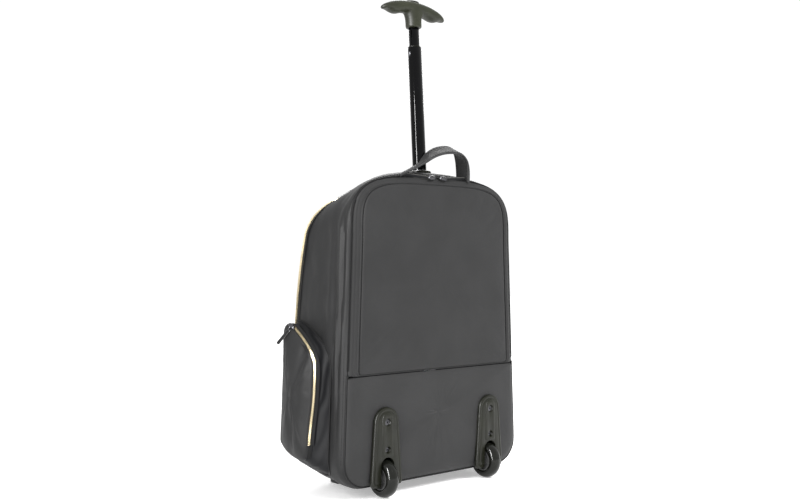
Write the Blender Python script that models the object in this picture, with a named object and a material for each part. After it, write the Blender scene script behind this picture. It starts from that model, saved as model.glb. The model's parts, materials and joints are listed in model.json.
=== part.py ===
"""Rolling laptop case: a soft zipped body on two inline wheels, with a telescopic handle on a single post.

Metres, +Z up. The back (wheels, padded panel) faces -Y, the front faces +Y, and the left side is -X.
The origin is on the floor under the middle of the whole object. Depth is counted from the back fabric plane.
"""

import math

import bmesh
import bpy
from mathutils import Matrix, Vector

# Overall
GAP = 0.0004  # clearance between pieces that touch
FABRIC = 0.004  # padded fabric wall
WHEEL_RADIUS = 0.0275
WHEEL_DEPTH = 0.002  # axle line, behind the back fabric plane
FRONT_REACH = 0.1710  # furthest point of the front pocket
BACK_Y = -(FRONT_REACH - (WHEEL_RADIUS - WHEEL_DEPTH)) / 2

# Body outline seen from behind
HALF_WIDTH_HIGH = 0.162
HALF_WIDTH_LOW = 0.174
WIDTH_HEIGHT_HIGH = 0.37
WIDTH_HEIGHT_LOW = 0.06
BODY_FLOOR = 0.014
BODY_TOP = 0.4715
CORNER_RADIUS = 0.035
CORNER_STEPS = 4
SIDE_STEPS = 4
TOP_STEPS = 10

# Outlines as inset, floor, corner, top, rise, power: the fullest one, and the lower one along the arch zipper
CROWN = (0.0, BODY_FLOOR, CORNER_RADIUS, BODY_TOP, 0.1015, 2.25)
ARCH = (0.0, 0.021, 0.062, 0.452, 0.082, 2.2)
CROWN_DEPTH = 0.042

# Arch zipper between the main compartment and the front
ZIP_TOP_DEPTH = 0.078
ZIP_DEPTH = 0.130
ZIP_SPRING = 0.220
ZIP_REACH = 0.207
FRONT_GAP = 0.0008
FRONT_BULGE = 0.0292
FRONT_CENTRE = 0.240
FRONT_HINGE_HEIGHT = 0.080

# Back cushions
SEAM_HEIGHT = 0.174
SEAM_GAP = 0.0006
REAR_HINGE_DEPTH = -0.0050

# Telescopic post: distances along its axis are counted from where it leaves the body
POST_DEPTH = 0.041
POST_LEAN = math.radians(3.6)
INNER_TUBE = (0.0086, 0.0074)
MIDDLE_TUBE = (0.0110, 0.0098)
SLEEVE_TUBE = (0.0127, 0.0115)
TUBE_WALL = 0.0013
SLEEVE_FOOT = -0.3765
MIDDLE_TOP = 0.1915
MIDDLE_LENGTH = 0.380
BUSH_HEIGHT = 0.0012
INNER_SHOWN = 0.0290
INNER_LENGTH = 0.370
GRIP_HALF_LENGTH = 0.0625
BEZEL = (0.0170, 0.0152)

# Stiffeners inside and the feet below
FOOT_SPREAD = 0.090
FOOT_TOP = 0.0182
BOARD_OUTLINE = (0.0070, 0.0202, 0.032, 0.453, 0.083, 2.2)
BOARD_DEPTHS = (0.0525, 0.0550)
BASE_HALF_WIDTH = 0.106
BASE_HEIGHTS = (0.0258, 0.0284)

# Wheels and housings
WHEEL_SPREAD = 0.1025
TYRE_HALF_WIDTH = 0.0095
AXLE_RADIUS = 0.0030
HOUSING_FACE = -0.009
WELL_DEPTH = 0.035
WELL_TOP = 0.063
WELL_HALF_WIDTH = 0.0165
SLOT_HALF_WIDTH = 0.0117
SCREW_HEIGHTS = {"upper": 0.108, "lower": 0.069}

# Side pockets, as depth and height: the seam on the bag's side, and the outer edge where the panel starts
POCKET_SIDE = 0.0185
POCKET_BULGE = 0.0130
POCKET_BASE = [
    (0.124, 0.050), (0.124, 0.086), (0.124, 0.175), (0.124, 0.236), (0.121, 0.246), (0.111, 0.2475),
    (0.088, 0.2385), (0.066, 0.2265), (0.049, 0.213), (0.0395, 0.199), (0.0365, 0.175), (0.036, 0.130),
    (0.036, 0.085), (0.037, 0.050), (0.041, 0.037), (0.052, 0.032), (0.084, 0.0315), (0.108, 0.034),
    (0.1195, 0.040),
]
POCKET_FACE = [
    (0.124, 0.078), (0.124, 0.125), (0.124, 0.175), (0.124, 0.232), (0.121, 0.243), (0.111, 0.2445),
    (0.089, 0.2325), (0.068, 0.2175), (0.0545, 0.204), (0.0478, 0.191), (0.0465, 0.172), (0.0483, 0.140),
    (0.0525, 0.105), (0.0548, 0.078), (0.059, 0.061), (0.068, 0.0545), (0.088, 0.055), (0.108, 0.061),
    (0.1195, 0.0685),
]
POCKET_CENTRE = (0.088, 0.148)
POCKET_STAND_OFF = 0.0044
POCKET_HINGE_DEPTH = 0.1244
POCKET_HINGE_HEIGHT = 0.150

# Zipper sliders: the outline of their body in shares of its half length and width, then their places
SLIDER_HALF_LENGTH = 0.0050
SLIDER_HALF_WIDTH = 0.0030
SLIDER_OUTLINE = ((1, -0.6), (1, 0.6), (0.4, 1), (-0.6, 1), (-1, 0.5), (-1, -0.5), (-0.6, -1), (0.4, -1))
REAR_SLIDER_SPREAD = 0.0115
REAR_SLIDER_DEPTH = 0.0044
REAR_SLIDER_HEIGHT = 0.4620
FRONT_SLIDER_SPREAD = 0.0190
POCKET_SLIDER_DEPTH = 0.1040
POCKET_SLIDER_HEIGHT = 0.2412

# Carry loop, as the x and height of its back edge and of its front edge, which lies higher and leans right
LOOP_BACK_DEPTH = -0.0015
LOOP_FRONT_DEPTH = 0.0275
LOOP_THICKNESS = 0.0045
LOOP_BACK_EDGE = [
    (-0.070, 0.4655), (-0.052, 0.4715), (-0.039, 0.4785), (-0.025, 0.4870), (-0.006, 0.4950), (0.014, 0.4990),
    (0.031, 0.5000), (0.042, 0.4985), (0.051, 0.4935), (0.058, 0.4835), (0.0625, 0.4745), (0.0640, 0.4660),
]
LOOP_FRONT_EDGE = [
    (-0.038, 0.4760), (-0.030, 0.4800), (-0.0205, 0.4850), (-0.011, 0.4930), (0.006, 0.5025), (0.022, 0.5085),
    (0.036, 0.5105), (0.047, 0.5080), (0.054, 0.5020), (0.0600, 0.4930), (0.0635, 0.4840), (0.0650, 0.4765),
]

SIDES = {"left": -1, "right": 1}
DOWN_X = Matrix.Rotation(math.pi / 2, 4, "Y")


def clear_scene():
    for old in list(bpy.data.objects):
        bpy.data.objects.remove(old, do_unlink=True)


def at(x, depth, height):
    return Vector((x, BACK_Y + depth, height))


def material(name, colour, roughness, metallic):
    made = bpy.data.materials.get(name) or bpy.data.materials.new(name)
    made.use_nodes = True
    surface = made.node_tree.nodes["Principled BSDF"]
    surface.inputs["Base Color"].default_value = (*colour, 1.0)
    surface.inputs["Roughness"].default_value = roughness
    surface.inputs["Metallic"].default_value = metallic
    return made


LOOKS = {
    "nylon": ((0.095, 0.095, 0.097), 0.62, 0.0),
    "nylon_lower": ((0.115, 0.115, 0.117), 0.55, 0.0),
    "lining": ((0.055, 0.055, 0.058), 0.80, 0.0),
    "board": ((0.030, 0.030, 0.032), 0.60, 0.0),
    "gold": ((0.62, 0.50, 0.27), 0.30, 1.0),
    "gunmetal": ((0.10, 0.10, 0.11), 0.32, 1.0),
    "steel": ((0.55, 0.55, 0.56), 0.28, 1.0),
    "black_gloss": ((0.010, 0.010, 0.011), 0.16, 0.6),
    "olive_plastic": ((0.050, 0.053, 0.038), 0.45, 0.0),
    "grip_plastic": ((0.075, 0.080, 0.050), 0.50, 0.0),
    "tyre": ((0.016, 0.016, 0.018), 0.22, 0.0),
    "rubber": ((0.020, 0.020, 0.020), 0.80, 0.0),
}


def finish(name, mesh_builder, look, origin=None, soft_edges=40.0):
    """Turn a bmesh into a named object with its origin at the given point."""
    bmesh.ops.recalc_face_normals(mesh_builder, faces=mesh_builder.faces)
    origin = origin or Vector((0, 0, 0))
    bmesh.ops.translate(mesh_builder, verts=mesh_builder.verts, vec=-origin)
    mesh = bpy.data.meshes.new(name)
    mesh_builder.to_mesh(mesh)
    mesh_builder.free()
    mesh.shade_smooth()
    mesh.set_sharp_from_angle(angle=math.radians(soft_edges))
    made = bpy.data.objects.new(name, mesh)
    made.location = origin
    bpy.context.collection.objects.link(made)
    mesh.materials.append(material(name, *LOOKS[look]))
    return made


def add_rings(mesh_builder, rings, closed):
    """Skin a row of equal rings. A closed row joins its last ring to its first, an open one gets two caps."""
    rows = []
    for ring in rings:
        rows.append([mesh_builder.verts.new(point) for point in ring])
    count = len(rings[0])
    pairs = list(zip(rows, rows[1:]))
    if closed:
        pairs.append((rows[-1], rows[0]))
    for first, second in pairs:
        for index in range(count):
            after = (index + 1) % count
            mesh_builder.faces.new((first[index], first[after], second[after], second[index]))
    if not closed:
        for row in (rows[0], rows[-1]):
            centre = mesh_builder.verts.new(sum((v.co for v in row), Vector()) / count)
            for index in range(count):
                mesh_builder.faces.new((row[index], row[(index + 1) % count], centre))


def skin(name, rings, look, closed=False, origin=None, place=None, soft_edges=40.0):
    builder = bmesh.new()
    add_rings(builder, rings, closed)
    if place:
        bmesh.ops.transform(builder, matrix=place, verts=builder.verts)
    return finish(name, builder, look, origin, soft_edges)


def block(name, low, high, look, bevel=0.0, origin=None):
    """A box between two corners, with its edges rounded."""
    builder = bmesh.new()
    bmesh.ops.create_cube(builder, size=1.0)
    size = high - low
    bmesh.ops.scale(builder, vec=size, verts=builder.verts)
    bmesh.ops.translate(builder, vec=(low + high) / 2, verts=builder.verts)
    if bevel:
        bmesh.ops.bevel(
            builder, geom=builder.edges[:], offset=bevel, segments=2, profile=0.5, affect="EDGES",
            clamp_overlap=True,
        )
    return finish(name, builder, look, origin)


def oval(radii, height, count=20):
    """One level of an upright oval tube in its own frame."""
    ring = []
    for index in range(count):
        angle = 2 * math.pi * index / count
        ring.append(Vector((radii[0] * math.cos(angle), radii[1] * math.sin(angle), height)))
    return ring


def turned(name, profile, look, place, closed=False, count=24, origin=None):
    """Turn a profile of (radius, height) points round the local Z axis, then place it."""
    rings = [oval((radius, radius), height, count) for radius, height in profile]
    return skin(name, rings, look, closed, origin, place)


def cutter(made):
    made.hide_render = True
    made.display_type = "WIRE"
    return made


def cut(target, tool, operation="DIFFERENCE"):
    modifier = target.modifiers.new(tool.name, "BOOLEAN")
    modifier.operation = operation
    modifier.solver = "EXACT"
    modifier.object = tool


def half_width(height):
    share = (WIDTH_HEIGHT_HIGH - height) / (WIDTH_HEIGHT_HIGH - WIDTH_HEIGHT_LOW)
    return HALF_WIDTH_HIGH + (HALF_WIDTH_LOW - HALF_WIDTH_HIGH) * min(max(share, 0.0), 1.0)


def zip_depth(height):
    """Depth of the arch zipper: upright low on the sides, curving back over the shoulders to the top."""
    share = min(max((height - ZIP_SPRING) / ZIP_REACH, 0.0), 1.0)
    return ZIP_TOP_DEPTH + (ZIP_DEPTH - ZIP_TOP_DEPTH) * math.sqrt(1.0 - share * share)


def outline(inset, floor, corner, top, rise, power):
    """Closed loop of (x, height) points round the bag, from the middle of the bottom edge round by +X."""
    low = half_width(floor + corner) - inset
    spring = top - rise
    high = half_width(spring) - inset
    half = [(0.0, floor), ((low - corner) / 2, floor)]
    for step in range(CORNER_STEPS + 1):
        angle = (step / CORNER_STEPS - 1.0) * math.pi / 2
        half.append((low - corner + corner * math.cos(angle), floor + corner + corner * math.sin(angle)))
    for step in range(1, SIDE_STEPS):
        height = floor + corner + (spring - floor - corner) * step / SIDE_STEPS
        half.append((half_width(height) - inset, height))
    for step in range(TOP_STEPS + 1):
        angle = step / TOP_STEPS * math.pi / 2
        across = high * max(math.cos(angle), 0.0) ** (2 / power)
        half.append((across, spring + rise * math.sin(angle) ** (2 / power)))
    half[-1] = (0.0, top)
    return half + [(-x, height) for x, height in reversed(half[1:-1])]


def thinned(values, thinner):
    """The same outline drawn in by a wall's thickness."""
    inset, floor, corner, top, rise, power = values
    return outline(inset + thinner, floor + thinner, corner - thinner / 2, top - thinner, rise, power)


def level(loop, depth):
    """The loop at one depth, which is a number or a function of the height."""
    if callable(depth):
        return [at(x, depth(height), height) for x, height in loop]
    return [at(x, depth, height) for x, height in loop]


def zip_level(loop, reference, forward):
    """The loop along the arch zipper, each point at the depth of the reference loop's matching point."""
    return [at(x, zip_depth(height) + forward, z) for (x, z), (_, height) in zip(loop, reference)]


# Stations of the body from the rear zipper to the crown: inset, floor, corner, top, rise, power, depth
BODY_STATIONS = [
    (0.0060, 0.0190, CORNER_RADIUS, 0.4600, 0.090, 3.5, 0.0060),
    (0.0020, 0.0160, CORNER_RADIUS, 0.4660, 0.096, 2.9, 0.0130),
    (0.0005, 0.0145, CORNER_RADIUS, 0.4700, 0.100, 2.5, 0.0240),
    (*CROWN, CROWN_DEPTH),
]


def station(values, thinner=0.0):
    return level(thinned(values[:6], thinner), values[6])


def post_frame():
    """Local Z runs up the post, with its zero where the post leaves the body."""
    return Matrix.Translation(at(0.0, POST_DEPTH, BODY_TOP)) @ Matrix.Rotation(-POST_LEAN, 4, "X")


def post_point(along):
    return post_frame() @ Vector((0.0, 0.0, along))


def build_body():
    arch = thinned(ARCH, 0.0)
    rings = [station(values) for values in BODY_STATIONS]
    rings.append(zip_level(arch, arch, 0.0))
    rings.append(zip_level(thinned(ARCH, FABRIC), arch, 0.0))
    rings += [station(values, FABRIC) for values in reversed(BODY_STATIONS)]
    shell = skin("main_shell", rings, "nylon", closed=True)
    hole_radii = [radius + GAP for radius in BEZEL]
    hole_rings = [oval(hole_radii, along) for along in (-0.012, 0.012)]
    hole = cutter(skin("post_hole_cutter", hole_rings, "board", place=post_frame()))
    cut(shell, hole)
    board_loop = outline(*BOARD_OUTLINE)
    skin("frame_board", [level(board_loop, depth) for depth in BOARD_DEPTHS], "board")
    base_low = at(-BASE_HALF_WIDTH, 0.0560, BASE_HEIGHTS[0])
    block("base_board", base_low, at(BASE_HALF_WIDTH, 0.1240, BASE_HEIGHTS[1]), "board", 0.0006)
    return shell


def front_rings():
    """The front of the bag as an open cup: outer stations to the rim, then inner ones back to the middle."""
    arch = thinned(ARCH, 0.0)

    def shrunk(scale):
        return [(x * scale, FRONT_CENTRE + (height - FRONT_CENTRE) * scale) for x, height in arch]

    def scaled(scale, forward):
        return level(shrunk(scale), lambda height: zip_depth(height) + forward)

    outer = [
        (0.20, FRONT_BULGE), (0.45, 0.0290), (0.70, 0.0280), (0.84, 0.0245), (0.92, 0.0160), (0.975, 0.0055),
    ]
    inner = [
        (0.935, 0.0060), (0.890, 0.0138), (0.820, 0.0198), (0.68, 0.0238), (0.45, 0.0248), (0.20, 0.0250),
    ]
    rim = [zip_level(arch, arch, FRONT_GAP), zip_level(shrunk(0.974), arch, FRONT_GAP)]
    return [scaled(*pair) for pair in outer] + rim + [scaled(*pair) for pair in inner]


def build_front():
    """The front splits along a level hinge line: a flap that opens forward and a fixed base under it."""
    hinge = at(0.0, ZIP_DEPTH + FRONT_BULGE + GAP, FRONT_HINGE_HEIGHT)
    flap = skin("front_flap", front_rings(), "nylon", origin=hinge)
    base = skin("front_base_panel", front_rings(), "nylon")
    over = at(0.30, 0.40, 0.60)
    under = at(-0.30, 0.0, -0.10)
    below = block("front_below_cutter", under, at(0.30, 0.40, FRONT_HINGE_HEIGHT + GAP), "board")
    above = block("front_above_cutter", at(-0.30, 0.0, FRONT_HINGE_HEIGHT - GAP), over, "board")
    cut(flap, cutter(below))
    cut(base, cutter(above))
    pad = outline(0.055, 0.105, 0.025, 0.310, 0.025, 5.0)

    def shrunk(scale, forward):
        loop = [(x * scale, 0.205 + (height - 0.205) * scale) for x, height in pad]
        return level(loop, lambda height: zip_depth(height) + FRONT_BULGE + forward)

    steps = [(0.5, 0.0010), (0.93, 0.0010), (1.0, 0.0030), (0.97, 0.0085), (0.86, 0.0112), (0.5, 0.0118)]
    skin("front_pocket", [shrunk(*pair) for pair in steps], "nylon", origin=hinge)


def build_back():
    """The padded panel that zips open above the cross seam, and the fixed cushion below it."""
    hinge_height = SEAM_HEIGHT + SEAM_GAP
    upper = [
        (0.0700, 0.2200, 0.030, 0.4000, 0.060, 3.0, -0.0048),
        (0.0350, 0.1900, 0.025, 0.4320, 0.070, 3.5, -0.0038),
        (0.0230, 0.1800, 0.012, 0.4430, 0.085, 4.5, -0.0016),
        (0.0190, hinge_height + 0.0015, 0.006, 0.4470, 0.088, 5.0, 0.0002),
        (0.0110, hinge_height + 0.0006, 0.006, 0.4540, 0.089, 4.2, 0.0008),
        (0.0072, hinge_height, 0.006, 0.4585, 0.090, 3.7, 0.0030),
        (0.0062, hinge_height, 0.006, 0.4598, 0.090, 3.5, 0.0060 - GAP),
        (0.0120, hinge_height + 0.0050, 0.006, 0.4540, 0.088, 3.5, 0.0060 - GAP),
        (0.0200, hinge_height + 0.0120, 0.010, 0.4450, 0.085, 3.5, 0.0044),
    ]
    lower = [
        (0.0400, 0.0500, 0.030, SEAM_HEIGHT - 0.020, 0.010, 8.0, -0.0010),
        (0.0200, 0.0330, 0.028, SEAM_HEIGHT - 0.008, 0.008, 10.0, -0.0006),
        (0.0110, 0.0240, 0.032, SEAM_HEIGHT, 0.006, 12.0, 0.0006),
        (0.0072, 0.0200, 0.034, SEAM_HEIGHT, 0.006, 12.0, 0.0030),
        (0.0062, 0.0192, 0.035, SEAM_HEIGHT, 0.006, 12.0, 0.0060 - GAP),
        (0.0120, 0.0250, 0.032, SEAM_HEIGHT - 0.005, 0.006, 12.0, 0.0060 - GAP),
        (0.0200, 0.0330, 0.028, SEAM_HEIGHT - 0.012, 0.006, 12.0, 0.0044),
    ]
    hinge = at(0.0, REAR_HINGE_DEPTH, SEAM_HEIGHT + SEAM_GAP / 2)
    skin("rear_flap", [station(values) for values in upper], "nylon", origin=hinge)
    return skin("lower_back_panel", [station(values) for values in lower], "nylon_lower")


def build_wheels(shell, lower_panel):
    for side, sign in SIDES.items():
        x = sign * WHEEL_SPREAD
        build_housing(side, x, shell, lower_panel)
        axle_frame = Matrix.Translation(at(x, WHEEL_DEPTH, WHEEL_RADIUS)) @ DOWN_X
        centre = at(x, WHEEL_DEPTH, WHEEL_RADIUS)
        half = WELL_HALF_WIDTH - 0.0006
        turned("wheel_axle_" + side, [(AXLE_RADIUS, -half), (AXLE_RADIUS, half)], "steel", axle_frame,
               count=16, origin=centre)
        bore = AXLE_RADIUS + 0.0004
        hub = [
            (bore, -0.0095), (0.0065, -0.0095), (0.0070, -0.0060), (0.0130, -0.0050), (0.0150, -0.0080),
            (0.0160, -0.0080), (0.0160, 0.0080), (0.0150, 0.0080), (0.0130, 0.0050), (0.0070, 0.0060),
            (0.0065, 0.0095), (bore, 0.0095),
        ]
        turned("wheel_hub_" + side, hub, "board", axle_frame, closed=True, origin=centre)
        tyre = [(0.0163, -0.0082), (0.0195, -TYRE_HALF_WIDTH)]
        for step in range(7):
            angle = (step / 6 - 0.5) * math.pi
            radius = 0.0205 + (WHEEL_RADIUS - 0.0205) * math.cos(angle)
            tyre.append((radius, TYRE_HALF_WIDTH * math.sin(angle)))
        tyre += [(0.0195, TYRE_HALF_WIDTH), (0.0163, 0.0082)]
        turned("wheel_tyre_" + side, tyre, "tyre", axle_frame, closed=True, count=32, origin=centre)


def housing_outline(inset):
    """Arched plate seen from behind: a half circle on top, sides spreading to the bottom."""
    radius = 0.0215 - inset
    spring = 0.129 - 0.0215
    points = []
    for step in range(13):
        angle = step / 12 * math.pi
        points.append((radius * math.cos(angle), spring + radius * math.sin(angle)))
    points += [(-(0.0265 - inset), 0.050), (-(0.0280 - inset), 0.024), (-(0.0262 - inset), 0.0175 + inset)]
    points += [(0.0262 - inset, 0.0175 + inset), (0.0280 - inset, 0.024), (0.0265 - inset, 0.050)]
    return points


def build_housing(side, x, shell, lower_panel):
    name = "wheel_housing_" + side
    plate = []
    for inset, depth in [(0.0, -0.0017), (0.0, -0.0060), (0.0012, -0.0082), (0.0030, HOUSING_FACE)]:
        plate.append([at(x + across, depth, height) for across, height in housing_outline(inset)])
    housing = skin(name, plate, "olive_plastic", origin=at(x, 0.0, 0.060), soft_edges=30.0)
    well_low = at(x - WELL_HALF_WIDTH, -0.0040, 0.0155)
    well_high = at(x + WELL_HALF_WIDTH, WELL_DEPTH, WELL_TOP)
    cut(housing, cutter(block("well_body_" + side, well_low, well_high, "board")), "UNION")
    hollow_low = at(x - SLOT_HALF_WIDTH, -0.0030, -0.010)
    hollow_high = at(x + SLOT_HALF_WIDTH, WELL_DEPTH - 0.003, WELL_TOP - 0.003)
    cut(housing, cutter(block("well_hollow_" + side, hollow_low, hollow_high, "board")))
    arch = []
    for step in range(9):
        angle = step / 8 * math.pi
        arch.append((SLOT_HALF_WIDTH * math.cos(angle), 0.0455 + SLOT_HALF_WIDTH * math.sin(angle)))
    arch += [(-SLOT_HALF_WIDTH, -0.010), (SLOT_HALF_WIDTH, -0.010)]
    slot = [[at(x + across, depth, height) for across, height in arch] for depth in (-0.020, -0.0029)]
    cut(housing, cutter(skin("wheel_slot_" + side, slot, "board")))
    axle_frame = Matrix.Translation(at(x, WHEEL_DEPTH, WHEEL_RADIUS)) @ DOWN_X
    axle_hole = [(AXLE_RADIUS + 0.0003, -0.03), (AXLE_RADIUS + 0.0003, 0.03)]
    cut(housing, cutter(turned("axle_hole_" + side, axle_hole, "board", axle_frame, count=16)))
    for level_name, height in SCREW_HEIGHTS.items():
        screw_frame = Matrix.Translation(at(x, 0.0, height)) @ Matrix.Rotation(math.pi / 2, 4, "X")
        hole = [(0.0026, 0.0005), (0.0026, 0.0050), (0.0052, 0.0072), (0.0052, 0.0200)]
        cut(housing, cutter(turned(f"screw_hole_{level_name}_{side}", hole, "board", screw_frame, count=16)))
        screw = [(0.0022, 0.0019), (0.0022, 0.0051), (0.0046, 0.0072), (0.0046, 0.0077), (0.0028, 0.0084)]
        turned(f"housing_screw_{level_name}_{side}", screw, "steel", screw_frame, count=16)
    room_low = at(x - WELL_HALF_WIDTH - GAP, -0.05, -0.010)
    room_high = at(x + WELL_HALF_WIDTH + GAP, WELL_DEPTH + GAP, WELL_TOP + GAP)
    room = cutter(block("well_room_" + side, room_low, room_high, "board"))
    cut(shell, room)
    cut(lower_panel, room)


def pocket_side(height, out):
    return half_width(height) + 0.0005 + out


def corner_inset(depth, height):
    """How far the bag's rounded bottom corner has drawn in from its side, between crown and arch zipper."""
    share = min(max((depth - CROWN_DEPTH) / (ZIP_DEPTH - CROWN_DEPTH), 0.0), 1.0)
    _, floor, corner = [low + (high - low) * share for low, high in zip(CROWN[:3], ARCH[:3])]
    below = floor + corner - height
    if below <= 0.0:
        return 0.0
    return corner - math.sqrt(max(corner * corner - below * below, 0.0))


def pocket_ring(sign, scale, out, points=POCKET_FACE):
    """The pocket's outline on one side, drawn in by a scale and standing out from the bag's side.

    The base outline lies on the bag and follows its bottom corner.
    """
    ring = []
    for depth, height in points:
        depth = POCKET_CENTRE[0] + (depth - POCKET_CENTRE[0]) * scale
        height = POCKET_CENTRE[1] + (height - POCKET_CENTRE[1]) * scale
        across = pocket_side(height, out)
        if points is POCKET_BASE:
            across -= max(corner_inset(depth, height) - POCKET_STAND_OFF, 0.0)
        ring.append(at(sign * across, depth, height))
    return ring


def build_side_pockets():
    """Each pocket is a gusset standing on the bag's side and a domed panel, hinged at its front edge."""
    for side, sign in SIDES.items():
        rings = [pocket_ring(sign, 1.0, 0.0, POCKET_BASE), pocket_ring(sign, 1.0, POCKET_SIDE)]
        rings += [pocket_ring(sign, 0.94, POCKET_SIDE), pocket_ring(sign, 0.94, 0.0, POCKET_BASE)]
        skin("side_pocket_gusset_" + side, rings, "lining", closed=True)
        rim = POCKET_SIDE + GAP
        dome = [(0.40, POCKET_BULGE), (0.75, 0.0115), (0.90, 0.0080), (0.985, 0.0030), (1.0, 0.0)]
        inside = [(0.94, 0.0), (0.86, 0.0058), (0.72, 0.0086), (0.40, 0.0098)]
        rings = [pocket_ring(sign, scale, rim + out) for scale, out in dome + inside]
        hinge = at(sign * pocket_side(POCKET_HINGE_HEIGHT, rim), POCKET_HINGE_DEPTH, POCKET_HINGE_HEIGHT)
        skin("side_pocket_panel_" + side, rings, "nylon", origin=hinge)


def slider_and_pull(prefix, side, point, along, outward, hang, pull_size, look):
    """A zipper slider at a point, and its pull: along is the zipper, outward is off the fabric.

    The pull runs in the direction hang and has a length and a half width.
    """
    pull_length, pull_half = pull_size
    across = along.cross(outward).normalized()
    frame = Matrix((along, across, outward)).transposed().to_4x4()
    frame = Matrix.Translation(point) @ frame
    rings = []
    for scale, height in [(0.8, 0.0), (1.0, 0.0008), (1.0, 0.0026), (0.7, 0.0034)]:
        size = Vector((SLIDER_HALF_LENGTH * scale, SLIDER_HALF_WIDTH * scale))
        rings.append([frame @ Vector((size.x * a, size.y * b, height)) for a, b in SLIDER_OUTLINE])
    skin(f"{prefix}_slider_{side}", rings, look, origin=point)
    pull_axis = hang.cross(outward).normalized()
    pull_up = pull_axis.cross(hang).normalized()
    start = point + outward * 0.0014 + hang * 0.0062
    pull_frame = Matrix((hang, pull_axis, pull_up)).transposed().to_4x4()
    pull_frame = Matrix.Translation(start) @ pull_frame
    edge = [
        (0.0, 0.0022), (0.006, 0.0028), (0.009, pull_half), (pull_length - 0.002, pull_half),
        (pull_length, pull_half * 0.6),
    ]
    loop = edge + [(a, -b) for a, b in reversed(edge)]
    rings = [[pull_frame @ Vector((a, b, height)) for a, b in loop] for height in (-0.0008, 0.0008)]
    skin(f"{prefix}_pull_{side}", rings, "nylon", origin=start)


def build_sliders():
    for side, sign in SIDES.items():
        along = Vector((sign, 0.0, -0.025)).normalized()
        outward = Vector((0.0, -0.62, 0.78))
        outward = (outward - along * outward.dot(along)).normalized()
        point = at(sign * REAR_SLIDER_SPREAD, REAR_SLIDER_DEPTH, REAR_SLIDER_HEIGHT)
        slider_and_pull("rear", side, point, along, outward, along, (0.042, 0.0030), "gunmetal")
        along = Vector((sign, 0.0, -0.07)).normalized()
        outward = Vector((0.0, 0.48, 0.877))
        outward = (outward - along * outward.dot(along)).normalized()
        point = at(sign * FRONT_SLIDER_SPREAD, ZIP_TOP_DEPTH - 0.0020, ARCH[3] + 0.0030)
        slider_and_pull("front", side, point, along, outward, along, (0.030, 0.0042), "gold")
        along = Vector((0.0, -0.87, -0.493)).normalized()
        outward = Vector((sign * 0.70, -0.352, 0.621)).normalized()
        hang = Vector((sign * 0.58, 0.30, -0.757)).normalized()
        reach = pocket_side(0.241, POCKET_SIDE) + 0.0035
        point = at(sign * reach, POCKET_SLIDER_DEPTH, POCKET_SLIDER_HEIGHT)
        slider_and_pull("pocket", side, point, along, outward, hang, (0.026, 0.0042), "gunmetal")


def build_zipper(name, look, path, flat):
    """A zipper chain as a thin band: at every point of the path a small section, out from the fabric and flat."""
    sections = []
    for point, outward, toward in path:
        sections.append([
            point + outward * 0.0006,
            point + outward * 0.0015,
            point + outward * 0.0015 + toward * flat,
            point + outward * 0.0006 + toward * flat,
        ])
    return skin(name, sections, look)


def build_arch_zipper():
    """The gold chain on the body's side of the arch, from one pocket top over the crown to the other."""
    path = []
    arch = thinned(ARCH, 0.0)
    rim = zip_level(arch, arch, 0.0)
    wider = zip_level(thinned(ARCH, -0.001), arch, 0.0)
    full = station(BODY_STATIONS[-1])
    for edge, wide, behind in zip(rim, wider, full):
        if edge.z > 0.11:
            toward = (behind - edge).normalized()
            outward = wide - edge
            outward = (outward - toward * outward.dot(toward)).normalized()
            path.append((edge + toward * 0.0006, outward, toward))
    build_zipper("arch_zipper", "gold", path, 0.0035)


def tube(name, radii, wall, low, high, look, origin):
    inside = (radii[0] - wall, radii[1] - wall)
    rings = [oval(radii, low), oval(radii, high), oval(inside, high), oval(inside, low)]
    return skin(name, rings, look, closed=True, place=post_frame(), origin=post_point(origin))


def build_post():
    tube("outer_sleeve_tube", SLEEVE_TUBE, 0.0009, SLEEVE_FOOT, 0.0020, "steel", 0.0)
    bore = [radius + GAP for radius in SLEEVE_TUBE]
    lip = [radius - 0.0016 for radius in BEZEL]
    levels = [(BEZEL, -0.0034), (BEZEL, 0.0006), (lip, 0.0022), (bore, 0.0022), (bore, -0.0034)]
    rings = [oval(radii, height) for radii, height in levels]
    skin("handle_top_bezel", rings, "olive_plastic", closed=True, place=post_frame(), origin=post_point(0.0))
    foot = post_point(SLEEVE_FOOT)
    block("sleeve_base_bracket", foot + Vector((-0.026, -0.0095, -0.0135)),
          foot + Vector((0.026, 0.0120, -0.0016)), "olive_plastic", 0.0015)
    middle = tube("middle_tube", MIDDLE_TUBE, TUBE_WALL, MIDDLE_TOP - MIDDLE_LENGTH, MIDDLE_TOP, "black_gloss",
                  MIDDLE_TOP)
    bush_inside = (INNER_TUBE[0] + 0.0004, INNER_TUBE[1] + 0.0004)
    bush_outside = (MIDDLE_TUBE[0] - 0.0004, MIDDLE_TUBE[1] - 0.0004)
    low = MIDDLE_TOP + GAP
    high = MIDDLE_TOP + BUSH_HEIGHT
    levels = [(bush_outside, low), (bush_outside, high), (bush_inside, high), (bush_inside, low)]
    rings = [oval(radii, height) for radii, height in levels]
    skin("middle_tube_bush", rings, "olive_plastic", closed=True, place=post_frame(),
         origin=post_point(MIDDLE_TOP))
    window = post_frame() @ Matrix.Translation((0.0, 0.0, MIDDLE_TOP - 0.010)) @ DOWN_X
    oval_hole = [oval((0.0048, 0.0026), along, 16) for along in (-0.0150, -0.0050)]
    cut(middle, cutter(skin("window_cutter", oval_hole, "board", place=window)))
    plug = [oval((0.0044, 0.0022), along, 16) for along in (-0.0113, -0.0098)]
    skin("stage_lock_button", plug, "rubber", place=window, origin=window @ Vector((0.0, 0.0, -0.0105)))
    collar = MIDDLE_TOP + BUSH_HEIGHT + INNER_SHOWN
    top = collar + 0.0150
    tube("inner_tube", INNER_TUBE, 0.0010, top - INNER_LENGTH, top, "black_gloss", collar)
    return collar


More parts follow.
